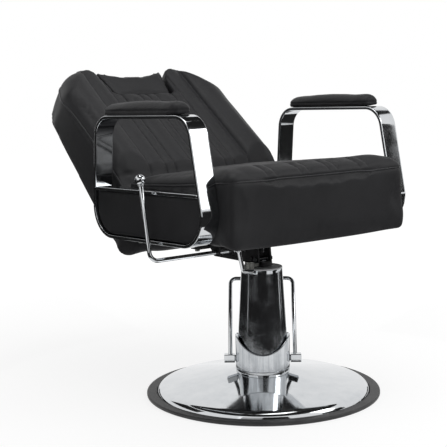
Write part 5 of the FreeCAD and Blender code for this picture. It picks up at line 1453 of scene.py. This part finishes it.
@dataclass
class SeatPad(Assembly):
    """The boxed seat cushion: crowned top with sewn channels and a piped edge."""

    half: float = 277.0
    front: float = 222.0
    back: float = 183.0
    corner: float = 25.0
    back_corner: float = 14.0
    seam_front: float = 574.0
    seam_middle: float = 556.0
    seam_back: float = 546.0
    channel_seams: Tuple[float, ...] = (32.0, 59.0, 136.0, 163.0)
    channel: Seam = Seam(3.6, 3.0, 0.6, 14.0, 14.0)
    top_seam: Seam = Seam(2.4, 3.5, 0.8, 30.0, 26.0)
    slack: float = 0.6
    piping: float = 2.4
    pulls: Tuple[Pull, ...] = (
        Pull((272, -217, 525), (11, -9, 0), (22, 22, 60)),  # square front corners
        Pull((272, -217, 452), (9, -7, 0), (22, 22, 26)),
        Pull((225, -175, 598), (0, 0, 6), (50, 50, 30)),  # full front corners of the crown
        Pull((190, 50, 592), (0, 0, -4), (80, 80, 30)),
        Pull((0, -226, 428), (0, -1, -12), (300, 17, 24)),  # the skirt hangs below the board
        Pull((150, -226, 428), (0, 0, -4), (120, 17, 24)),
    )
    piping_pull: Pull = Pull((280, -223, 574), (3, -3, 1.5), (7, 7, 20))

    def seam_height(self, y: np.ndarray) -> np.ndarray:
        """Return the height of the top seam at distances behind the axis."""
        ahead = self.seam_middle + (self.seam_front - self.seam_middle) * (-y / self.front)
        behind = self.seam_middle + (self.seam_back - self.seam_middle) * (y / self.back)
        return np.where(y < 0, ahead, behind)

    def build(self) -> None:
        """Build the cover, sew its channels and lay the piping."""
        padding = Padding(swell_limit=3.5)
        cover = padding.cover("vinyl_seat_cushion", "seat_cushion", self.finishes.vinyl)
        move_points(cover.data, pulled(points_of(cover.data), self.pulls))
        points = points_of(cover.data)
        normals = normals_of(cover.data)
        on_top = fade(normals[:, 2], 0.35, 0.75)
        sideways = fade(np.abs(normals[:, 2]), 0.75, 0.45)
        depth = self.slack * ripple(points, 80.0, 9.0) * sideways
        for seam in self.channel_seams:
            depth += self.channel.sunk(points, np.abs(points[:, 0]) - seam, seam) * on_top
        distance = points[:, 2] - self.seam_height(points[:, 1])
        depth += self.top_seam.sunk(points, distance, 5.0) * sideways
        move_points(cover.data, points - normals * depth[:, None])
        hand_over(cover, Body.SEAT, Slot.VINYL, "seat_cushion")
        hand_over(self.piped_edge(cover), Body.SEAT, Slot.VINYL)

    def piped_edge(self, cover: Piece) -> Piece:
        """Lay the vinyl-covered cord in the top seam.

        Args:
            cover: The cushion's cover.

        Returns:
            The cord.
        """
        corners = [(-self.half, self.back), (-self.half, -self.front), (self.half, -self.front),
                   (self.half, self.back)]
        radii = [self.back_corner, self.corner, self.corner, self.back_corner]
        plan = rounded_run(corners, radii, True, 8)
        line = spread_points(plan, 8.0, True)
        heights = self.seam_height(np.array([spot.y for spot in line]))
        raised = [(spot.x, spot.y, float(height)) for spot, height in zip(line, heights)]
        laid = smoothed_run(laid_on(cover, raised, 0.4), 6, True)
        tips = pulled(np.array([tuple(point) for point in laid]), (self.piping_pull,))
        run = [Vector(tip) for tip in tips]
        return rod_along("seat_piping", run, self.piping, self.finishes.welt, True, 12)


@dataclass
class BackRest(Assembly):
    """The padded back: wings, sewn channels, piped side seams and a notch for the headrest."""

    set_back: float = 357.0
    lift: float = 646.0
    slope: float = 37.0
    channel_seams: Tuple[float, ...] = (0.0, 28.0, 85.0, 115.0, 167.0)
    channel: Seam = Seam(3.2, 2.6, 0.7, 16.0, 14.0)
    slack: float = 0.6
    fullness: float = 2.5
    piping: float = 2.4
    pulls: Tuple[Pull, ...] = (  # in the back's own plane: across, up the back, out of its face
        Pull((267, 60, -50), (5, 0, -2), (45, 150, 40)),
        Pull((262, 60, 10), (3, 0, 2), (30, 150, 25)),
        Pull((232, 258, -15), (-1, 4, 2), (45, 40, 50)),
        Pull((262, 218, -30), (-8, -2, 0), (30, 32, 45)),
        Pull((165, 288, -30), (0, 6, 4), (45, 25, 50)),
        Pull((256, -268, -150), (20, -3, 0), (24, 24, 24)),  # the drooping lower corner
        Pull((215, -266, -150), (0, 8, 7), (24, 22, 24)),
    )
    piped_run: Tuple[Point, ...] = (  # one side seam from the lower edge up and round the shoulder
        (258, -255, -100), (262, -225, -40), (266, -200, -16), (268, -160, -8), (268, -120, -3),
        (268, -40, 0), (268, 60, 0), (268, 150, -3), (262, 200, -12), (250, 232, -22),
        (222, 262, -30), (190, 280, -34), (165, 288, -34), (150, 287, -34), (136, 282, -34),
    )

    @property
    def place(self) -> Matrix:
        """The matrix from the back's own plane to the row frame, in millimetres."""
        return (Matrix.Translation((0, self.set_back, self.lift))
                @ Matrix.Rotation(math.radians(self.slope), 4, "X"))

    def build(self) -> None:
        """Build the cover, sew its channels and lay the side piping."""
        cover = Padding().cover("vinyl_back_cushion", "back_cushion", self.finishes.vinyl)
        points = points_of(cover.data) + normals_of(cover.data) * self.fullness
        points = pulled_in(self.place, points, self.pulls)
        move_points(cover.data, points)
        normals = normals_of(cover.data)
        across = np.abs(points[:, 0])
        out_of_face = normals @ np.array(self.place.to_3x3())[:, 2]
        on_face = fade(out_of_face, 0.3, 0.7)
        depth = self.slack * ripple(points, 90.0, 4.0)
        for seam in self.channel_seams:
            depth += self.channel.sunk(points, across - seam, seam + 1) * on_face
        move_points(cover.data, points - normals * depth[:, None])
        hand_over(cover, Body.BACK, Slot.VINYL, "back_cushion")
        self.piped_sides(cover)

    def piped_sides(self, cover: Piece) -> None:
        """Lay the cord along both sides and round the shoulders.

        Args:
            cover: The back's cover.
        """
        line = spread_points([self.place @ Vector(point) for point in self.piped_run], 8.0, False)
        laid = smoothed_run(laid_on(cover, smoothed_run(line, 8, False), 0.4), 6, False)
        for side, sign in SIDES:
            run = [Vector((sign * point.x, point.y, point.z)) for point in laid]
            cord = rod_along(f"back_piping_{side}", run, self.piping, self.finishes.welt, False, 12)
            hand_over(cord, Body.BACK, Slot.VINYL)


@dataclass
class HeadRest(Assembly):
    """The small cushion in the notch of the back."""

    slack: float = 0.7
    pulls: Tuple[Pull, ...] = (Pull((98, 585, 808), (3, 4, 7), (30, 50, 22)),
                               Pull((0, 580, 806), (0, 1, 2.5), (70, 50, 20)))

    def build(self) -> None:
        """Build the cover."""
        padding = Padding(voxel=4.0, pressure=3.0, swell_limit=2.5)
        cover = padding.cover("vinyl_headrest", "headrest_cushion", self.finishes.vinyl)
        move_points(cover.data, pulled(points_of(cover.data), self.pulls))
        points = points_of(cover.data)
        depth = self.slack * ripple(points, 40.0, 8.0)
        move_points(cover.data, points - normals_of(cover.data) * depth[:, None])
        hand_over(cover, Body.HEADREST, Slot.VINYL, "headrest_cushion")


@dataclass
class ReclineLever(Assembly):
    """The bent rod with its ball under the sitter's right hand."""

    rod: float = 5.3
    ball: float = 12.5
    corners: Tuple[Point, ...] = (
        (-350, 26, 572), (-350, -8, 381), (-82, -8, 381), (-68, -8, 322.5), (-54, -33, 322.5))
    bends: Tuple[float, ...] = (0, 22, 12, 8, 0)
    neck: Tuple[Spot, ...] = ((7.3, -11.25), (7.5, -14.0), (6.7, -15.1), (0.0, -15.1))

    def build(self) -> None:
        """Build the rod and the ball."""
        rod = rod_along("lever_rod", rounded_run(self.corners, self.bends, False, 10), self.rod,
                        self.finishes.chrome)
        hand_over(rod, Body.LEVER, Slot.CHROME, "recline_lever")
        axis = (Vector(self.corners[0]) - Vector(self.corners[1])).normalized()
        profile = [(self.ball * north, self.ball * east) for east, north in around(52)[:24]]
        profile += self.neck
        ball = turned_knob("lever_knob", profile, self.corners[0], axis, self.finishes.chrome)
        hand_over(ball, Body.LEVER, Slot.CHROME, "lever_ball")


# Studio


@dataclass
class Studio:
    """The pale floor, the white room, the lamps, the cards for the chrome and the camera."""

    azimuth: float = -38.642
    elevation: float = 7.716
    roll: float = -0.957
    place: Point = (-1852.3, -2162.7, 823.8)
    focal_pixels: float = 1132.4
    image_width: int = 447
    sensor: float = 36.0
    middle: Spot = (223.2, 223.5)
    fill: float = 0.55
    floor_drop: float = -0.4  # the floor lies this far under the chair, so that no faces coincide
    floor_rings: Tuple[int, ...] = (320, 700, 1500, 3000, 6000, 9000)
    floor_sides: int = 64
    floor_glow: float = 1.06
    floor_near_far: Spot = (0.8, 2.4)  # between these distances, in metres, the floor's shade fades
    floor_shares: Spot = (0.76, 1.0)  # how much of the floor glows near the chair and far from it
    card_glow: float = 0.9
    lamp_aim: Point = (0, 0, 450)
    flag_steps: int = 97
    flag_rings: Tuple[Tuple[str, Spot, Spot, Spot], ...] = (  # name, radii, heights, start and end
        ("flag_floor", (760, 8500), (2, 2), (-282, 22)),  # open behind, for light on the dish
        ("flag_horizon", (3200, 3200), (2, 260), (-282, 22)),
        ("flag_ceiling", (900, 2600), (2750, 2750), (-180, 180)),
    )
    lamps: Tuple[Tuple[str, Point, float, float], ...] = (  # name, place, size and power in watts
        ("key_light", (1500, -2100, 2500), 1300, 24),
        ("top_light", (100, 100, 2700), 1500, 19),
        ("fill_light", (-2100, -1500, 1500), 1200, 2),
        ("strip_light", (1250, -2100, 1420), 800, 3.4),
    )
    black_cards: Tuple[Tuple[str, Point, float, float, float], ...] = (  # middle, size and turn
        ("flag_camera_side", (-2000, -2480, 1300), 3000, 2600, -38.6),
        ("flag_low_right", (1350, -2200, 470), 1000, 940, 32),
        ("flag_far_arm", (2000, -2080, 1020), 720, 1000, 40),
        ("flag_near_arm", (-760, 560, 570), 760, 480, 38),
    )
    white_cards: Tuple[Tuple[str, Point, float, float, float], ...] = (
        ("card_strip_wide", (1210, -715, 150), 120, 300, 60),
        ("card_strip_slim", (1330, -420, 150), 45, 300, 72),
        ("card_strip_left", (-1180, 560, 150), 50, 300, 65),
    )

    def build(self) -> None:
        """Build the whole studio."""
        self.build_world()
        self.build_floor()
        self.build_lamps()
        self.build_cards()
        self.build_camera()

    def build_world(self) -> None:
        """Make a room that is white to the eye, to metal and through glass, and softer as light."""
        world = bpy.data.worlds.new("white_room")
        world.use_nodes = True
        bpy.context.scene.world = world
        tree = world.node_tree
        tree.nodes.clear()
        shown = ray_is(tree, "Is Camera Ray", "Is Glossy Ray", "Is Transmission Ray")
        strength = add_node(tree, "MapRange", inputs={
            "Value": shown, "To Min": self.fill, "To Max": 1.0}).outputs["Result"]
        light = add_node(tree, "Background", inputs={"Color": WHITE, "Strength": strength})
        add_node(tree, "OutputWorld", inputs={"Surface": light.outputs["Background"]})

    def build_floor(self) -> None:
        """Make a pale floor that is white to the eye except where the chair shades it."""
        points: List[Point] = [(0.0, 0.0, self.floor_drop)]
        for radius in self.floor_rings:
            points += [(radius * east, radius * north, self.floor_drop)
                       for east, north in around(self.floor_sides)]
        faces = fan_faces(len(self.floor_rings), self.floor_sides)
        coat = Coat("pale_floor")
        coat.fix({"Base Color": linear("#f4f4f4"), "Roughness": 0.6, "Specular IOR Level": 0.2})
        away = add_node(coat.tree, "VectorMath", {"operation": "LENGTH"}, {0: coat.place})
        share = add_node(coat.tree, "Math", {"operation": "MULTIPLY"}, {
            0: ray_is(coat.tree, "Is Camera Ray", "Is Glossy Ray"),
            1: coat.span(away.outputs["Value"], self.floor_near_far, self.floor_shares)})
        glow = add_node(coat.tree, "Emission", inputs={"Color": WHITE, "Strength": self.floor_glow})
        mixed = add_node(coat.tree, "MixShader", inputs={
            0: share.outputs["Value"], 1: coat.shader.outputs["BSDF"], 2: glow.outputs["Emission"]})
        coat.tree.links.new(mixed.outputs["Shader"], coat.output.inputs["Surface"])
        floor = new_piece("studio_floor", points, faces, coat.material)
        for face in floor.data.polygons:
            if face.normal.z < 0:
                face.flip()

    def build_lamps(self) -> None:
        """Hang a key on the sitter's left, a wide top light, a weak fill and a strip."""
        for name, place, size, power in self.lamps:
            lamp = bpy.data.lights.new(name, "AREA")
            lamp.shape = "SQUARE"
            lamp.size = size * MM
            lamp.energy = power
            holder = linked(name, lamp)
            holder.location = Vector(place) * MM
            aim = Vector(self.lamp_aim) * MM - holder.location
            holder.rotation_euler = aim.to_track_quat("-Z", "Y").to_euler()

    def build_cards(self) -> None:
        """Set up black and white cards that draw dark bands and bright lines in the chrome."""
        black = Coat("black_flag")
        black.fix({"Base Color": linear("#2b2b2b"), "Roughness": 1.0, "Specular IOR Level": 0.0})
        for name, radii, heights, sector in self.flag_rings:
            self.flag_ring(name, radii, heights, sector, black.material)
        white = Coat("white_card")
        glow = add_node(white.tree, "Emission", inputs={"Color": WHITE, "Strength": self.card_glow})
        white.tree.links.new(glow.outputs["Emission"], white.output.inputs["Surface"])
        for cards, coat in ((self.black_cards, black), (self.white_cards, white)):
            for name, centre, wide, tall, turn in cards:
                place = Matrix.Translation(centre) @ Matrix.Rotation(math.radians(turn), 4, "Z")
                corners = [place @ Vector((side * wide / 2, 0, end * tall / 2))
                           for side, end in ((-1, -1), (1, -1), (1, 1), (-1, 1))]
                self.only_mirrored(new_piece(name, corners, [(0, 1, 2, 3)], coat.material))

    def flag_ring(
        self, name: str, radii: Spot, heights: Spot, sector: Spot, material: Material
    ) -> None:
        """Make a card that goes round the chair, or part of the way.

        Args:
            name: The card's name.
            radii: Radius of its first and its second edge.
            heights: Height of its first and its second edge.
            sector: Where it starts and ends, in degrees from +X.
            material: Its finish.
        """
        steps = self.flag_steps
        points = []
        for radius, height in zip(radii, heights):
            for step in range(steps):
                angle = math.radians(sector[0] + (sector[1] - sector[0]) * step / (steps - 1))
                points.append((radius * math.cos(angle), radius * math.sin(angle), height))
        self.only_mirrored(new_piece(name, points, grid_faces(2, steps, False, False), material))

    def only_mirrored(self, card: Piece) -> None:
        """Hide a card from everything but reflections.

        Args:
            card: The card.
        """
        for kind in ("camera", "diffuse", "shadow", "transmission", "volume_scatter"):
            setattr(card, f"visible_{kind}", False)

    def build_camera(self) -> None:
        """Put the camera where the photograph was taken from."""
        azimuth = math.radians(self.azimuth)
        elevation = math.radians(self.elevation)
        roll = math.radians(self.roll)
        ahead = Vector((-math.sin(azimuth) * math.cos(elevation),
                        math.cos(azimuth) * math.cos(elevation), -math.sin(elevation)))
        right = Vector((math.cos(azimuth), math.sin(azimuth), 0))
        up = right.cross(ahead)
        tipped_right = right * math.cos(roll) + up * math.sin(roll)
        tipped_up = up * math.cos(roll) - right * math.sin(roll)
        data = bpy.data.cameras.new("photo_camera")
        data.sensor_width = self.sensor
        data.lens = self.focal_pixels * self.sensor / self.image_width
        data.shift_x = (self.image_width / 2 - self.middle[0]) / self.image_width
        data.shift_y = (self.middle[1] - self.image_width / 2) / self.image_width
        data.clip_start = 0.05
        data.clip_end = 100.0
        holder = linked("photo_camera", data)
        turn = Matrix((tipped_right, tipped_up, -ahead)).transposed().to_4x4()
        holder.matrix_world = Matrix.Translation(Vector(self.place) * MM) @ turn
        bpy.context.scene.camera = holder
        bpy.context.scene.view_settings.view_transform = "Standard"


def main() -> None:
    """Build and dress the chair in order, then the studio."""
    logging.basicConfig(level=logging.INFO, format="%(message)s")
    finishes = Finishes()
    for assembly in (FloorBase, Column, FootPump, SeatCarrier, Arms, SeatPad, BackRest, HeadRest,
                     ReclineLever):
        LOG.info("%s", assembly.__name__)
        assembly(finishes).build()
    Studio().build()


if __name__ == "__main__":
    main()
